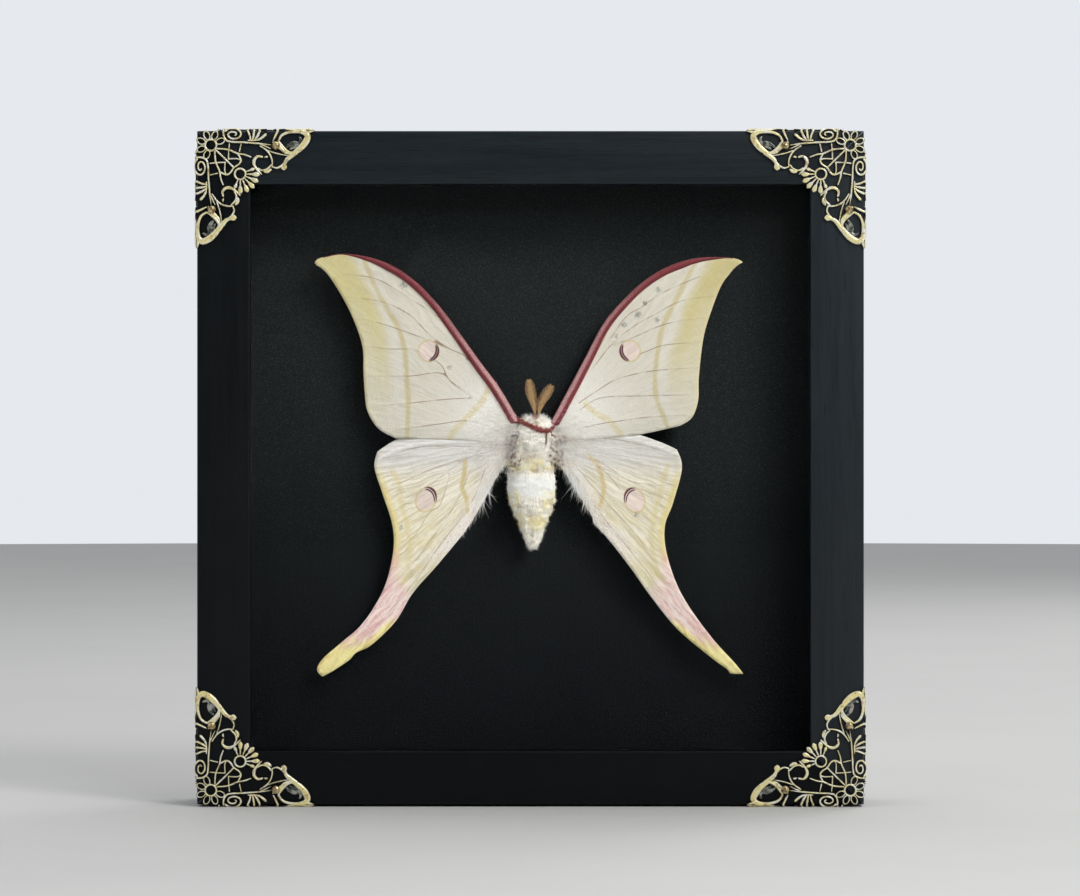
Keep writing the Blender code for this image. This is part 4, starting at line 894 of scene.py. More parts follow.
hindRight = {
    "name": "hindwingRight", "node": "hindwing_right", "side": 1, "hind": True, "dull": 0.15,
    "leading": [(3.0, 1.8), (16.7, 2.9), (27.0, 2.6), (31.5, 1.7), (38.8, -0.9), (43.1, -2.9)],
    "outer": [(43.1, -2.9), (44.6, -8.5), (41.9, -19.1), (39.5, -25.8), (39.8, -33.4), (42.8, -43.1),
              (47.3, -51.3), (54.3, -60.7), (60.7, -67.7), (63.3, -71.0)],
    "inner": [(63.3, -71.0), (59.5, -70.9), (58.3, -69.5), (53.7, -66.2), (43.4, -57.5), (35.8, -48.3),
              (28.8, -38.5), (22.2, -30.0), (18.0, -25.4), (17.1, -22.8), (12.1, -14.9), (8.5, -9.0),
              (4.0, -5.0)],
    "veins": [[(9.1, -3.6), (19.7, -6.7), (28.2, -12.1), (36.4, -13.7), (43.6, -13.4)],
              [(8.2, -5.5), (19.7, -8.5), (27.3, -16.7), (34.9, -24.3), (39.4, -28.8)],
              [(12.1, -7.6), (21.2, -18.2), (31.9, -30.3), (39.5, -42.5), (45.0, -48.6)],
              [(10.6, -8.5), (19.1, -21.2), (28.8, -33.4), (34.9, -41.0), (40.4, -48.6), (47.0, -56.1)],
              [(9.1, 0.0), (22.8, 0.4), (34.9, -2.1), (43.9, -5.2)]],
    "fold": [(9.1, 1.2), (22.8, 1.5), (31.9, -0.2), (43.4, -4.0)],
    "band": [(40.4, -7.6), (38.8, -12.7), (37.9, -16.7), (35.5, -25.8), (36.1, -36.4), (39.0, -44.0)],
    "baseBand": [(16.1, -4.9), (19.1, -7.6), (20.3, -11.5), (20.9, -15.2), (19.6, -20.5)],
    "eye": (30.2, -18.2, 3.1), "eyeSide": (-0.75, 0.66), "smudges": [(30.8, -22.6, 1.0)],
}


def ripple(size, *values):                           # one noise value for each row of given coordinates
    return np.array([size * noise.noise(Vector(row)) for row in zip(*np.broadcast_arrays(*values))])


def wingSurface(wing):                               # a flat net of triangles, lined up along the veins
    step = moth["meshSize"]
    lines = {key: smoothLine(wing[key], moth["edgeSize"]) for key in ("leading", "outer", "inner")}
    loop = np.vstack([lines["leading"][:-1], lines["outer"][:-1], lines["inner"]])
    rim = np.vstack([loop, loop[:1]])
    low, high = loop.min(axis=0), loop.max(axis=0)
    rows = np.arange(low[1], high[1], step * 0.87)
    gridX, gridZ = np.meshgrid(np.arange(low[0], high[0], step), rows)
    gridX = gridX + (np.arange(len(rows)) % 2)[:, None] * step / 2
    grid = np.stack([gridX.ravel(), gridZ.ravel()], axis=1)
    grid = grid[insideLoop(grid, loop)]
    keep = distanceTo(grid, rim) > moth["edgeGap"]
    points, edges, veins = list(loop), [], []
    for vein in wing["veins"]:
        line = smoothLine(vein, moth["veinSize"])
        line = line[insideLoop(line, loop) & (distanceTo(line, rim) > moth["veinGap"])]
        first = len(points)
        points += list(line)
        edges += [(first + k, first + k + 1) for k in range(len(line) - 1)
                  if np.linalg.norm(line[k + 1] - line[k]) < 2 * moth["veinSize"]]
        keep &= distanceTo(grid, line) > moth["veinGap"]
        veins.append(line)
    points = [Vector(p) for p in [*points, *grid[keep]]]
    spots, _, parts, *_ = delaunay_2d_cdt(points, edges, [list(range(len(loop)))], 1, 1e-6)
    return np.array([tuple(p) for p in spots]), [tuple(p) for p in parts], lines, veins


def crossings(points, line, side):                   # signed: positive on the tip's side of a marking
    distance = distanceTo(points, line)
    height = np.clip(points[:, 1], line[:, 1].min(), line[:, 1].max())
    order = np.argsort(line[:, 1])
    edge = np.interp(height, line[order, 1], line[order, 0])
    return np.where(side * points[:, 0] > side * edge, distance, -distance)


def wingAttributes(wing, flat, lines, veins):
    hind, away = wing["hind"], np.linalg.norm(flat, axis=1)
    angle = np.arctan2(flat[:, 1], wing["side"] * flat[:, 0])
    marks = {"toLeading": lines["leading"], "toOuter": lines["outer"], "toInner": lines["inner"]}
    for label, key in (("toBand", "band"), ("toBaseBand", "baseBand"), ("toFold", "fold")):
        if key in wing:
            marks[label] = smoothLine(wing[key], 1.0)
    data = {label: distanceTo(flat, line) for label, line in marks.items()}
    data["toVein"] = np.min([distanceTo(flat, line) for line in veins], axis=0).clip(max=moth["farAway"])
    data["away"] = away
    data["flow"] = np.stack([away, angle * 40.0, np.zeros(len(flat))], axis=1)
    data["smudge"] = np.min([np.linalg.norm(flat - (x, z), axis=1) / size for x, z, size in wing["smudges"]],
                            axis=0)
    if not hind:
        data["yellowing"] = crossings(flat, smoothLine(wing["yellow"], 1.0), wing["side"])

    upright = np.array([-wing["side"] * math.sin(moth["eyeTilt"]), math.cos(moth["eyeTilt"])])
    eyeSide, shift = np.array(wing["eyeSide"]), 0.38 if hind else 0.42
    eye = flat - wing["eye"][:2]
    eye = eye + (eye @ upright)[:, None] * upright * (moth["eyeSquash"] - 1 if hind else 0.0)
    eye = eye / wing["eye"][2]
    data["eye"] = np.stack([np.linalg.norm(eye, axis=1), np.linalg.norm(eye + shift * eyeSide, axis=1),
                            eye @ eyeSide], axis=1)
    return data


def liftOf(wing):
    return moth["hindLift"] if wing["hind"] else moth["foreLift"]


def wingRise(wing, flat, data, edgeGap):             # veins, long folds and small cross ripples
    x, z = flat[:, 0], flat[:, 1]
    along, round, _ = data["flow"].T
    fold, crinkle = (0.28, 0.12) if wing["hind"] else (0.08, 0.07)
    grown = np.clip(data["away"] / 20, 0, 1) * np.clip(edgeGap / 2, 0, 1)
    rise = liftOf(wing) + wingLift(x, z) + moth["veinRise"] * np.exp(-(data["toVein"] / 0.3) ** 2)
    rise += ripple(fold, along * 0.07, round * 0.42, wing["side"]) * grown
    rise += ripple(crinkle, along * 0.55, round * 0.7, wing["side"] + 5.0) * grown
    if wing["hind"]:
        return rise + 0.3 * np.exp(-(data["toFold"] / 0.8) ** 2) * np.clip(edgeGap / 1.2, 0, 1)
    overlap = np.clip((44 - np.abs(x)) / 8, 0, 1)    # the forewing's lower edge lies on the hindwing
    return rise - 0.62 * np.exp(-(data["toInner"] / 2.6) ** 2) * overlap


def buildWing(wing, material, furMaterial, furTree):
    flat, parts, lines, veins = wingSurface(wing)
    data = wingAttributes(wing, flat, lines, veins)
    edgeGap = np.min([data["toOuter"], data["toInner"], data["toLeading"]], axis=0)
    rise = wingRise(wing, flat, data, edgeGap)
    half = moth["thickness"] / 2 * np.clip(edgeGap / 0.5, 0.25, 1)
    count = len(flat)
    verts = [mothPoint(x, y, z) for face in (rise + half, rise - half) for (x, z), y in zip(flat, face)]
    faces, borders = [], {}
    for part in parts:
        faces += [part, tuple(i + count for i in part[::-1])]
        borders.update({pair: True for pair in zip(part, part[1:] + part[:1])})
    faces += [(j, i, i + count, j + count) for i, j in borders if (j, i) not in borders]
    data = {key: np.concatenate([value, value]) for key, value in data.items()}
    data["rib"] = np.zeros(2 * count)
    data["ribAcross"] = np.zeros(2 * count)
    if not wing["hind"]:
        data = addRib(wing, verts, faces, data, lines["leading"])
    data.update(wingFur(wing, data, np.array(verts), count))
    source = newPiece(wing["name"] + "Source", verts, faces, material, data)
    piece = grow(source, furTree, {**wingHairs, "Hair Material": furMaterial}, wing["name"],
                 [wing["node"]])
    print("stage:", wing["name"], len(piece.data.polygons), "faces")


wingHairs = {"Hairs Per Square Millimetre": 8.0, "Hair Length": 2.6 * mm, "Hair Radius": 0.06 * mm,
             "Unruliness": 0.5, "Curl": 13.0, "Seed": 11}
rib = {"width": 2.15, "rootWidth": 0.8, "rootSwell": 0.3, "swellFrom": 32, "swellOver": 22, "sides": 12,
       "fullBefore": 44, "pointAt": 60, "height": 0.34, "lift": 0.1, "leftOff": 5}


def addRib(wing, verts, faces, data, leading):       # the thick red vein along the leading edge
    path = leading[:-rib["leftOff"]]
    out = np.abs(path[:, 0])
    tangent = np.gradient(path, axis=0)
    tangent /= np.linalg.norm(tangent, axis=1)[:, None]
    inward = np.stack([-tangent[:, 1], tangent[:, 0]], axis=1) * (1 if wing["side"] < 0 else -1)
    thicker = 1 + rib["rootSwell"] * np.clip((rib["swellFrom"] - out) / rib["swellOver"], 0, 1)
    narrowing = np.clip((rib["pointAt"] - out) / (rib["pointAt"] - rib["fullBefore"]), 0.1, 1)
    width = rib["width"] * thicker * narrowing
    middle = np.vstack([wing["ribRoot"], path + inward * width[:, None] / 2])
    width = np.concatenate([[rib["width"] * rib["rootWidth"]], width])
    inward = np.vstack([inward[:1], inward])
    faces += ringFaces(len(verts), len(middle), rib["sides"])
    rows = []
    for spot, aside, wide in zip(middle, inward, width):
        base = liftOf(wing) + wingLift(spot[:1], spot[1:])[0] + rib["lift"]
        for c, s in turnsOf(rib["sides"]):
            x, z = spot + aside * c * wide / 2
            verts.append(mothPoint(x, base + s * wide * rib["height"], z))
            rows.append((c, abs(spot[0])))
    across, away = np.array(rows).T
    fills = {"rib": 1.0, "ribAcross": across, "away": away, "yellowing": -moth["farAway"]}
    for key, value in data.items():
        extra = np.full((len(rows), *value.shape[1:]), moth["farAway"])
        if key in fills:
            extra[:] = fills[key]
        elif key == "flow":
            extra[:, 0] = away
        data[key] = np.concatenate([value, extra])
    return data


def wingFur(wing, data, verts, count):               # near the body, and along the hindwing's inner edge
    x, z = (verts[:, 0] - moth["x"]) / mm, (verts[:, 2] - moth["z"]) / mm
    away, toInner = data["away"], data["toInner"]
    near = np.clip(1 - (away - 8) / 16, 0, 1) ** 1.2
    length = 0.5 + 0.6 * near
    wave = np.sin(x * 1.1 + z * 1.9) + np.sin(z * 2.3 - x * 0.7)
    if wing["hind"]:
        rootward = np.clip(1 - (away - 20) / 22, 0, 1)
        fringe = np.exp(-(toInner / 3.2) ** 2) * rootward
        tufts = 1 + ripple(1.5, x * 0.3, z * 0.3, 7.0)
        length = np.where(fringe > 0.25, (0.55 + 0.95 * rootward) * np.clip(tufts, 0.35, 1.8), length)
        furriness = np.maximum(near, fringe)
        comb = [wing["side"] * (0.3 + 0.55 * np.clip(toInner / 8, 0, 1) + 0.3 * wave), -0.2 - 0.1 * wave,
                -0.75 + 0.5 * np.clip((z + 8) / 8, 0, 1)]
    else:
        furriness = near.copy()
        comb = [np.full(len(verts), wing["side"] * 0.8), -0.24 - 0.1 * wave,
                0.3 * wave + 0.25 * z / 10 - 0.3 * np.exp(-(toInner / 2) ** 2)]
    furriness[data["rib"] > 0.5] = 0.0
    furriness[count:2 * count] *= 0.25               # the back is nearly bare
    comb[1][count:2 * count] *= -1
    furriness[furriness < 0.04] = 0.0
    return {"furriness": furriness, "hairLength": length, "comb": np.stack(comb, 1)}


def fromMiddle(tree, spot):                          # the same place, counted from the middle of the thorax
    return vectorCalc(tree, "SUBTRACT", spot, (moth["x"], 0.0, moth["z"]))


def scaleShader(wing):
    material, tree = newMaterial(wing["name"] + "Scales")
    spot, hind = place(tree), wing["hind"]
    mottle = effect(tree, mottleEffect, {"Vector": spot, "Cloud Scale": 260.0, "Fleck Scale": 3800.0})
    drift = speckle(tree, spot, 170.0, 2.0, 0.5, output="Color")
    drift = vectorCalc(tree, "SUBTRACT", drift, (0.5, 0.5, 0.5))
    drift = vectorCalc(tree, "MULTIPLY", drift, (1.8, 1.8, 0.0) if hind else (3.0, 3.0, 0.0))
    flow = vectorCalc(tree, "ADD", stored(tree, "flow", "Vector"), drift)
    look = {"upward": split(tree, fromMiddle(tree, spot))[2],
            "clouds": mottle["Clouds"], "flecks": mottle["Flecks"],
            "streaks": speckle(tree, stretched(tree, flow, (0.07, 1.0, 1.0)), 1.2, 5.0, 0.65),
            "hairs": speckle(tree, stretched(tree, flow, (0.3, 1.0, 1.0)), 3.4, 3.0, 0.7),
            "ripples": speckle(tree, stretched(tree, flow, (1.3, 0.5, 1.0)), 1.2),
            "veins": 0.6 if hind else 0.85,
            "yellow": rgb(217, 205, 142) if wing["side"] < 0 else rgb(206, 193, 130)}
    for name in ("away", "toOuter", "toInner"):
        look[name] = stored(tree, name)
    tone = hindTones(tree, look) if hind else foreTones(tree, look)
    tone = over(tree, tone, rgb(146, 140, 118), ramp(tree, look["away"], 14.0, 30.0, 0.0, wing["dull"]))
    tone = veinTones(tree, tone, look)
    tone = eyeTones(tree, tone, look, hind)
    smudge = wobbled(tree, stored(tree, "smudge"), look["hairs"], 3.4)
    tone = over(tree, tone, rgb(96, 100, 88), ramp(tree, smudge, 1.0, 0.3, 0.0, 0.7))
    tone = over(tree, tone, rgb(168, 156, 130), ramp(tree, look["flecks"], 0.62, 0.85, 0.0, 0.35))
    tone = over(tree, tone, ribTones(tree, look), stored(tree, "rib"))
    nearBody = ramp(tree, look["away"], 34.0, 8.0, 0.3, 2.4)
    height = calc(tree, "MULTIPLY_ADD", look["hairs"], nearBody, look["streaks"])
    height = calc(tree, "MULTIPLY_ADD", look["ripples"], 0.7, height)
    return finish(material, tone, 0.72, height, 0.55 if hind else 0.5, 0.0003,
                  {"Sheen Weight": 0.1, "Specular IOR Level": 0.3})


def veinTones(tree, tone, look):
    vein = wobbled(tree, stored(tree, "toVein"), look["clouds"], 0.25)
    shown = ramp(tree, look["clouds"], 0.36, 0.62, 0.15, look["veins"])
    inner = ramp(tree, look["away"], 10.0, 19.0)
    outer = ramp(tree, look["toOuter"], 0.5, 12.0, 0.25, 1.0)
    return over(tree, tone, rgb(140, 110, 88), ramp(tree, vein, 0.28, 0.05), shown, inner, outer)


def eyeTones(tree, tone, look, hind):                # a pinkish disc in a yellow ring, with a dark lid
    length, shifted, towards = split(tree, stored(tree, "eye", "Vector"))
    disc = over(tree, rgb(230, 215, 204), rgb(214, 194, 184), ramp(tree, look["streaks"], 0.35, 0.65))
    tone = over(tree, tone, disc, ramp(tree, length, 0.98, 0.84, 0.0, 0.85))
    tone = over(tree, tone, rgb(208, 186, 120), ramp(tree, gap(tree, length, 0.97), 0.12, 0.03, 0.0, 0.65))
    slit = ramp(tree, gap(tree, shifted, 1.17 if hind else 1.2), 0.045, 0.02, 0.0, 0.85 if hind else 0.3)
    lid = over(tree, rgb(84, 42, 50), rgb(232, 208, 204), slit)
    side = ramp(tree, towards, 0.36 if hind else 0.3, 0.52 if hind else 0.5)
    return over(tree, tone, lid, ramp(tree, shifted, 0.99, 1.06), ramp(tree, length, 1.03, 0.97), side)


def foreTones(tree, look):
    upward, away, hairs, clouds = look["upward"], look["away"], look["hairs"], look["clouds"]
    tone = over(tree, rgb(229, 224, 210), rgb(216, 210, 194), ramp(tree, look["streaks"], 0.35, 0.7))
    tone = over(tree, tone, rgb(246, 243, 236), ramp(tree, away, 38.0, 16.0, 0.0, 0.8))
    nearBody = ramp(tree, away, 38.0, 12.0, 0.12, 0.75)
    tone = over(tree, tone, rgb(176, 156, 132), ramp(tree, hairs, 0.54, 0.7), nearBody)
    yellowing = stored(tree, "yellowing")
    strip = ramp(tree, wobbled(tree, yellowing, clouds, 1.5), -2.0, 2.6)
    kept = calc(tree, "MAXIMUM", ramp(tree, yellowing, 2.6, 6.5, 1.0, 0.72), ramp(tree, upward, 0.030, 0.046))
    stronger = ramp(tree, upward, 0.004, 0.042, 0.12, 0.95)
    patchy = ramp(tree, look["ripples"], 0.2, 0.6, 0.75, 1.0)
    tone = over(tree, tone, look["yellow"], strip, kept, stronger, patchy)
    rim = ramp(tree, look["toOuter"], 1.6, 0.0, 0.0, 0.6)
    tone = over(tree, tone, rgb(232, 218, 160), rim, ramp(tree, upward, 0.002, 0.012))
    pale = ramp(tree, gap(tree, yellowing, -1.7), 2.2, 0.4, 0.0, 0.35)
    tone = over(tree, tone, rgb(230, 228, 220), pale, ramp(tree, upward, 0.004, 0.012))
    band = wobbled(tree, wobbled(tree, stored(tree, "toBand"), clouds, 1.1), look["flecks"], 0.5)
    tone = over(tree, tone, rgb(202, 184, 118), ramp(tree, band, 1.2, 0.2, 0.0, 0.72),
                ramp(tree, hairs, 0.3, 0.5, 0.6, 1.0))
    base = wobbled(tree, stored(tree, "toBaseBand"), hairs, 1.8)
    return over(tree, tone, rgb(218, 202, 136), ramp(tree, base, 1.5, 0.4, 0.0, 0.8),
                ramp(tree, hairs, 0.38, 0.56, 0.1, 1.0))


def hindTones(tree, look):
    upward, streaks, hairs, clouds = look["upward"], look["streaks"], look["hairs"], look["clouds"]
    tone = over(tree, rgb(244, 238, 222), rgb(204, 192, 156), ramp(tree, streaks, 0.38, 0.66))
    tone = over(tree, tone, rgb(226, 210, 152), ramp(tree, upward, -0.012, -0.030),
                ramp(tree, clouds, 0.35, 0.65), ramp(tree, hairs, 0.4, 0.7, 0.2, 0.85))
    tone = over(tree, tone, rgb(180, 162, 126), ramp(tree, hairs, 0.58, 0.78),
                ramp(tree, look["away"], 12.0, 20.0, 0.2, 0.5))
    # painted shade: the sloping front strip of the hindwing is painted grey
    slopeShadedStrip = over(tree, rgb(226, 224, 220), rgb(204, 200, 193), ramp(tree, streaks, 0.36, 0.66))
    tone = over(tree, tone, slopeShadedStrip, ramp(tree, upward, -0.013, -0.005, 0.0, 0.9))
    # painted highlight: a pale line along the raised fold
    fold = ramp(tree, wobbled(tree, stored(tree, "toFold"), clouds, 0.4), 0.55, 0.1, 0.0, 0.8)
    tone = over(tree, tone, rgb(240, 239, 236), fold)
    furred = over(tree, rgb(246, 238, 232), rgb(186, 164, 140), ramp(tree, hairs, 0.48, 0.7))
    tone = over(tree, tone, furred, ramp(tree, look["toInner"], 6.5, 1.0),
                ramp(tree, upward, -0.042, -0.030, 0.0, 0.85))
    band = wobbled(tree, stored(tree, "toBand"), clouds, 1.3)
    tone = over(tree, tone, rgb(216, 200, 138), ramp(tree, band, 1.4, 0.2, 0.0, 0.5))
    base = wobbled(tree, stored(tree, "toBaseBand"), hairs, 1.5)
    tone = over(tree, tone, rgb(206, 184, 118), ramp(tree, base, 1.0, 0.3, 0.0, 0.75))
    rim = ramp(tree, wobbled(tree, look["toOuter"], clouds, 1.2), 3.0, 0.8)
    tone = over(tree, tone, rgb(230, 213, 146), rim, ramp(tree, upward, -0.006, -0.016, 0.1, 0.9))
    tone = over(tree, tone, rgb(226, 180, 158), rim, ramp(tree, upward, -0.031, -0.039))
    ragged = wobbled(tree, wobbled(tree, upward, streaks, 0.014), clouds, 0.006)
    slanted = calc(tree, "MULTIPLY_ADD", look["toOuter"], 0.0012, ragged)
    pinks = over(tree, rgb(244, 226, 218), rgb(222, 174, 168), ramp(tree, streaks, 0.4, 0.62))
    pinks = over(tree, pinks, rgb(250, 240, 230), ramp(tree, hairs, 0.52, 0.7, 0.0, 0.6))
    tone = over(tree, tone, pinks, ramp(tree, slanted, -0.034, -0.041), ramp(tree, ragged, -0.0655, -0.0575))
    lower = times(tree, ramp(tree, wobbled(tree, look["toInner"], streaks, 1.6), 2.4, 1.2),
                  ramp(tree, upward, -0.053, -0.057))
    tip = calc(tree, "MAXIMUM", lower, ramp(tree, ragged, -0.0585, -0.0655))
    ochre = over(tree, rgb(250, 236, 166), rgb(224, 202, 130), ramp(tree, streaks, 0.42, 0.66))
    return over(tree, tone, ochre, tip)


def ribTones(tree, look):
    away, flecks, side = look["away"], look["flecks"], stored(tree, "ribAcross")
    red = over(tree, rgb(98, 28, 38), rgb(134, 54, 60), ramp(tree, flecks, 0.35, 0.7))
    tone = over(tree, red, rgb(222, 182, 178), ramp(tree, side, 0.35, -0.35), ramp(tree, side, -0.98, -0.75),
                ramp(tree, away, 40.0, 8.0, 0.04, 0.75), ramp(tree, flecks, 0.3, 0.6, 0.35, 1.0))
    return over(tree, tone, rgb(176, 128, 88), ramp(tree, side, 0.8, 0.97), ramp(tree, away, 50.0, 36.0),
                ramp(tree, look["clouds"], 0.35, 0.6, 0.3, 0.9))


# Body: each row is z, left edge, right edge, half depth

bodySections = [
    (7.2, -2.4, 2.4, 1.2), (6.8, -3.6, 3.4, 2.4), (6.0, -4.6, 4.6, 3.3), (5.0, -4.8, 5.2, 3.7),
    (3.0, -6.0, 6.2, 4.4), (0.0, -6.6, 6.6, 4.8), (-3.0, -6.6, 6.0, 4.7), (-5.7, -7.4, 5.7, 4.4),
    (-9.1, -8.6, 6.2, 4.8), (-12.3, -8.6, 6.4, 5.0), (-15.2, -8.8, 6.5, 5.0), (-18.2, -7.9, 6.2, 4.8),
    (-20.8, -7.1, 5.7, 4.4), (-23.2, -6.0, 4.5, 3.8), (-26.2, -4.8, 3.4, 3.1), (-29.2, -3.6, 2.4, 2.3),
    (-31.6, -2.7, 1.5, 1.5), (-33.2, -1.5, 0.3, 0.7)]
body = {"rings": 130, "sides": 72, "shrink": 0.35, "least": 0.3, "lumps": 0.75,
        "headFrom": 5.4, "ringTop": -10.5, "ringFoot": -17.5, "cut": (-0.2, 0.3), "creviceShade": 1.4,
        "folds": [(-9.2, 0.7), (-19.4, 0.5), (-22.2, 0.35), (-24.6, 0.5), (-28.0, 0.4)]}
bodyHairs = {"Hairs Per Square Millimetre": 10.8, "Hair Length": 1.9 * mm, "Hair Radius": 0.07 * mm,
             "Unruliness": 0.5, "Curl": 12.0, "Seed": 5}
collar = {"spacing": 0.35, "sides": 12, "rise": 0.5,
          "line": [(-5.3, 6.2, 0.9), (-3.8, 5.3, 1.0), (-1.3, 4.3, 0.8), (1.2, 3.2, 0.95), (3.2, 2.75, 0.75),
                   (4.9, 3.2, 0.75), (5.9, 4.5, 0.85)]}
collarHairs = {"Hairs Per Square Millimetre": 26.0, "Hair Length": 0.55 * mm, "Hair Radius": 0.05 * mm,
               "Unruliness": 0.6, "Seed": 8}
legs = {"roots": [3.2, 0.2, -2.8], "sides": 6,
        "joints": [(3.0, 0, -3.4), (5.2, 1.2, -4.6), (4.8, 0, -5.6), (3.2, -1.8, -6.0)],
        "spacing": 0.6, "radius": 0.34, "taper": 0.18, "flatness": 0.4}


def furShader(name, light, shade):
    material, tree = newMaterial(name)
    spot = place(tree)
    local = fromMiddle(tree, spot)
    across, _, upward = split(tree, local)
    mottle = effect(tree, mottleEffect, {"Vector": spot, "Cloud Scale": 260.0, "Fleck Scale": 900.0})
    clouds, flecks, wide = mottle["Clouds"], mottle["Flecks"], speckle(tree, spot, 300.0)
    strands = speckle(tree, stretched(tree, stored(tree, "flow", "Vector"), (0.22, 1.0, 1.0)), 1.9, 3.0, 0.65)
    tone = over(tree, light, shade, ramp(tree, clouds, 0.45, 0.75))
    tone = over(tree, tone, rgb(176, 150, 122), ramp(tree, strands, 0.5, 0.7, 0.0, 0.65))
    # painted shade in the creases where the fur sinks in
    tone = over(tree, tone, rgb(186, 166, 128), ramp(tree, stored(tree, "creviceShade"), 0.3, 1.0, 0.0, 0.7))
    ring = between(tree, upward, (-0.0185, -0.016), (-0.0095, -0.012))
    tone = over(tree, tone, rgb(238, 240, 238), ring, 0.7)
    # partly the abdomen's paler tip, partly painted light offsetting the shade on its lower, downward-facing
    # fur
    tone = over(tree, tone, rgb(255, 252, 240), ramp(tree, upward, -0.019, -0.026, 0.0, 0.6))
    lowPatch = between(tree, upward, (-0.0285, -0.0265), (-0.0205, -0.0225))
    sides = between(tree, upward, (-0.0225, -0.0205), (-0.0145, -0.0165))
    sides = times(tree, sides, ramp(tree, gap(tree, across, -0.0012), 0.0028, 0.0045))
    waist = between(tree, upward, (-0.0098, -0.0085), (-0.0050, -0.0062))
    golden = calc(tree, "MAXIMUM", calc(tree, "MAXIMUM", lowPatch, sides), waist)
    tone = over(tree, tone, rgb(238, 226, 168), golden, ramp(tree, gap(tree, across, 0.0), 0.0095, 0.008),
                ramp(tree, wide, 0.36, 0.66, 0.0, 0.9))
    flank = wobbled(tree, gap(tree, gap(tree, across, 0.0), 0.0068), wide, 0.007)
    belt = between(tree, upward, (-0.0108, -0.0092), (0.0045, 0.002))
    tone = over(tree, tone, rgb(124, 84, 58), ramp(tree, flank, 0.0028, 0.0006), belt,
                ramp(tree, flecks, 0.47, 0.57, 0.0, 0.95))
    crown = vectorCalc(tree, "SUBTRACT", local, (0.0002, 0.0, 0.0073))
    crown = vectorCalc(tree, "MULTIPLY", crown, (1.0, 0.0, 1.0))
    crown = put(tree, "ShaderNodeVectorMath", {0: crown}, operation="LENGTH").outputs["Value"]
    crown = ramp(tree, wobbled(tree, crown, flecks, 0.0012), 0.0016, 0.0008, 0.0, 0.8)
    tone = over(tree, tone, rgb(160, 110, 92), crown)
    # painted shade: a dark line down the parting in the thorax fur
    partingShade = gap(tree, calc(tree, "MULTIPLY_ADD", upward, -0.06, across), 0.0034)
    tone = over(tree, tone, rgb(92, 74, 62), ramp(tree, partingShade, 0.0004, 0.0001),
                between(tree, upward, (-0.002, -0.001), (0.0028, 0.0022)))
    specks = ramp(tree, speckle(tree, spot, 1600.0, 2.0), 0.68, 0.8, 0.0, 0.5)
    tone = over(tree, tone, rgb(150, 124, 92), specks)
    return finish(material, tone, 0.8, flecks, 0.2, 0.0001, {"Sheen Weight": 0.2, "Specular IOR Level": 0.25})


def collarShader():
    material, tree = newMaterial("redCollar")
    flecks = speckle(tree, place(tree), 1800.0)
    tone = over(tree, rgb(112, 34, 32), rgb(178, 98, 84), ramp(tree, flecks, 0.42, 0.68))
    return finish(material, tone, 0.7, flecks, 0.4, 0.0001, {"Sheen Weight": 0.2})


def bodySection(z):
    rows = np.array(bodySections)[::-1]
    return [np.interp(z, rows[:, 0], rows[:, k]) for k in (1, 2, 3)]


def lumpAt(z, c, s):                                 # how far the fur stands out or sinks in at one spot
    if body["ringFoot"] < z < body["ringTop"]:       # the first ring of the abdomen is the smooth one
        strength = 0.3 * body["lumps"]
    else:
        strength = (0.75 if z < -10 else 1.15) * body["lumps"]
    lump = strength * noise.noise(Vector((c * 2.2, s * 2.2, z * 0.55)))
    lump += 0.6 * strength * noise.noise(Vector((c * 5.0, s * 5.0, z * 1.1 + 9.0)))
    sag = 1.3 * noise.noise(Vector((c * 2.4, s * 2.4, 3.0))) + (0.9 * (1 - c * c) if z < -14 else 0.0)
    for fold, deep in body["folds"]:
        uneven = 0.7 + noise.noise(Vector((c * 2.0, s * 2.0, fold)))
        lump -= deep * uneven * math.exp(-((z - fold + sag) / 0.45) ** 2)
    return lump


def combAt(z, c, s):                                 # hair runs down the body, and forward on the head
    sway = 1.6 * noise.noise(Vector((c * 3.4, s * 3.4, z * 0.8 + 4.0)))
    lean = 1.2 * noise.noise(Vector((c * 3.4, s * 3.4, z * 0.8 + 40.0)))
    return 0.35 * c + sway, -0.3 * s, (0.5 if z > body["headFrom"] else -0.75) + lean


def buildBody(furMaterial, shadedRootsMaterial, furTree):
    verts, data = [], {"comb": [], "hairLength": [], "furriness": [], "creviceShade": [], "flow": []}
    top, foot = (bodySections[end][0] + cut for end, cut in zip((0, -1), body["cut"]))
    for z in np.linspace(top, foot, body["rings"]):
        left, right, depth = bodySection(z)
        for k, (c, s) in enumerate(turnsOf(body["sides"])):
            lump = lumpAt(z, c, s)
            halfX = max(body["least"], (right - left) / 2 - body["shrink"] + lump)
            halfY = max(body["least"], depth - body["shrink"] + lump)
            verts.append(mothPoint((left + right) / 2 + halfX * c, halfY * s, z))
            drift = 2.5 * noise.noise(Vector((c * 2, s * 2, z * 0.4)))
            data["flow"].append((z + drift, 14 * math.pi * k / body["sides"], 0.0))
            data["creviceShade"].append(min(1.0, max(0.0, -lump * body["creviceShade"])))
            data["comb"].append(combAt(z, c, s))
            data["hairLength"].append((1.0 if z > -9 else 0.45) * (0.7 if z > body["headFrom"] else 1.0))
            data["furriness"].append(1.0 if z > -10 or z < -29 else 0.3 if z > body["ringFoot"] else 0.75)
    source = newPiece("bodySource", verts, ringFaces(0, body["rings"], body["sides"]), shadedRootsMaterial, data)
    furred = grow(source, furTree, {**bodyHairs, "Hair Material": furMaterial}, "mothBody",
                  ["moth_body"])
    print("stage: body", len(furred.data.polygons), "faces")


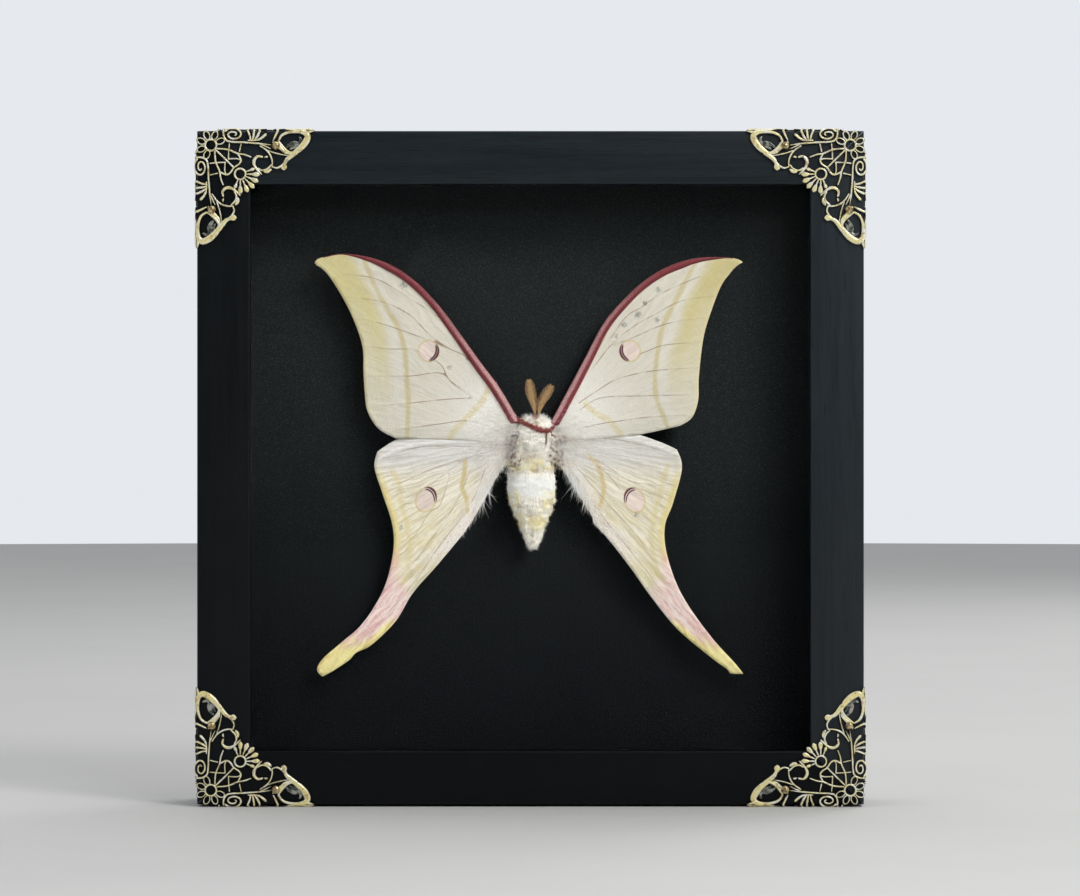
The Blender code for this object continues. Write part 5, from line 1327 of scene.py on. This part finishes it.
def buildCollar(material, furTree):                  # the red band of hair that joins the two red wing edges
    line = smoothLine(collar["line"], collar["spacing"])
    verts, comb = [], []
    for k, (x, z, halfWidth) in enumerate(line):
        left, right, depth = bodySection(z)
        across = min(0.97, abs((x - (left + right) / 2) / ((right - left) / 2)))
        reach = math.sqrt(max(0.12, 1 - across ** 2)) * depth
        uneven = 0.85 + 0.4 * math.sin(k * 2.1) * math.sin(k * 0.7 + 1)
        for c, s in turnsOf(collar["sides"]):
            verts.append(mothPoint(x, reach + collar["rise"] * s, z + halfWidth * uneven * c))
            comb.append((0.3, -0.4 * s, -0.5 + 0.5 * c))
    full = np.ones(len(verts))
    source = newPiece("collarSource", verts, ringFaces(0, len(line), collar["sides"]), material,
                      {"comb": comb, "hairLength": full, "furriness": full})
    grow(source, furTree, {**collarHairs, "Hair Material": material}, "mothCollar")


def buildLegs(material):                             # six thin legs folded under the thorax
    verts, faces = [], []
    for root in legs["roots"]:
        for side in (-1, 1):
            joints = [(side * x, root + z, lift) for x, z, lift in legs["joints"]]
            path = smoothLine(joints, legs["spacing"])
            faces += ringFaces(len(verts), len(path), legs["sides"])
            for k, (x, z, lift) in enumerate(path):
                radius = legs["radius"] - legs["taper"] * k / len(path)
                verts += [mothPoint(x + radius * c, lift + radius * legs["flatness"] * s, z + radius * s)
                          for c, s in turnsOf(legs["sides"])]
    newPiece("mothLegs", verts, faces, material, slot="moth_fur")


# Antennae: a shaft with two rows of barbs

antennae = {"spacing": 0.5, "lift": 1.2, "left": [(0.1, 7.7), (-0.3, 10.5), (-1.0, 13.5), (-1.8, 18.0)],
            "right": [(1.0, 7.7), (1.7, 10.3), (3.1, 13.2), (5.0, 16.3)]}
barbs = {"Barbs Each Side": 64, "Barb Length": 3.2 * mm, "Barb Radius": 0.065 * mm, "Shaft Radius": 0.15 * mm}


def makeBarbTree():
    tree, given, result = newTree("GeometryNodeTree", "barbsAlongShaft", {
        "Geometry": "Geometry", "Barbs Each Side": 40, "Barb Length": 0.002, "Barb Radius": 0.00006,
        "Shaft Radius": 0.00015, "Seed": 2, "Barb Material": "Material"}, {"Geometry": "Geometry"})
    points = put(tree, "GeometryNodeCurveToPoints", {
        "Curve": given["Geometry"], "Count": given["Barbs Each Side"]}, mode="COUNT").outputs
    share = calc(tree, "DIVIDE", put(tree, "GeometryNodeInputIndex").outputs[0], given["Barbs Each Side"])
    turn = times(tree, calc(tree, "POWER", share, 0.85), math.pi)
    belly = calc(tree, "POWER", calc(tree, "SINE", turn), 0.7)
    length = times(tree, given["Barb Length"], calc(tree, "ADD", times(tree, belly, 0.85), 0.12))
    size = combine(tree, given["Barb Radius"], given["Barb Radius"], length)
    barb = cone(tree, 4, 0.25, "NGON")
    forward = vectorCalc(tree, "MULTIPLY", points["Tangent"], (1.6, 1.6, 1.6))
    stray = randomField(tree, (-0.05, -0.2, -0.05), (0.05, 0.05, 0.05), given["Seed"])
    rows = []
    for side in (-1.0, 1.0):
        sideways = vectorCalc(tree, "CROSS_PRODUCT", points["Tangent"], (0.0, side, 0.0))
        heading = vectorCalc(tree, "ADD", vectorCalc(tree, "ADD", sideways, forward), stray)
        rows.append(copiesOn(tree, points["Points"], barb, pointAlong(tree, heading), size))
    circle = put(tree, "GeometryNodeCurvePrimitiveCircle", {"Resolution": 8, "Radius": given["Shaft Radius"]})
    shaft = put(tree, "GeometryNodeCurveToMesh", {
        "Curve": given["Geometry"], "Profile Curve": circle.outputs["Curve"], "Fill Caps": True}).outputs[0]
    connect(tree, result, {0: realAndPainted(tree, join(tree, *rows, shaft), given["Barb Material"])})
    return tree


def antennaBrown():
    return speckledFinish("antennaBrown", rgb(122, 92, 58), rgb(206, 172, 122), 1500.0, 0.6, 0.2)


def buildAntennae():
    material, barbTree = antennaBrown(), makeBarbTree()
    for side, seed in (("left", 2), ("right", 4)):
        line = smoothLine(antennae[side], antennae["spacing"])
        curve = bpy.data.curves.new("shaft", "CURVE")
        curve.dimensions = "3D"
        spline = curve.splines.new("POLY")
        spline.points.add(len(line) - 1)
        for point, (x, z) in zip(spline.points, line):
            point.co = (*mothPoint(x, antennae["lift"], z), 1.0)
        grow(addObject("shaft", curve), barbTree, {**barbs, "Seed": seed, "Barb Material": material},
             "antenna" + side.title(), ["antenna_" + side])
    print("stage: antennae")


def buildMoth():
    furTree = makeFurTree()
    cream = furShader("creamFur", rgb(255, 254, 249), rgb(242, 237, 224))
    # the surface under the hairs: a darker copy of the fur colours, painted shade between the hairs
    shadedRoots = furShader("furRootsShaded", rgb(244, 239, 226), rgb(214, 203, 178))
    red = collarShader()
    for wing in (hindLeft, hindRight, foreLeft, foreRight):
        buildWing(wing, scaleShader(wing), cream, furTree)
    buildBody(cream, shadedRoots, furTree)
    buildCollar(red, furTree)
    buildLegs(red)
    buildAntennae()


buildStudio()
buildRails()
dressKeptNodes()
buildCorners()
buildTacks()
buildMoth()
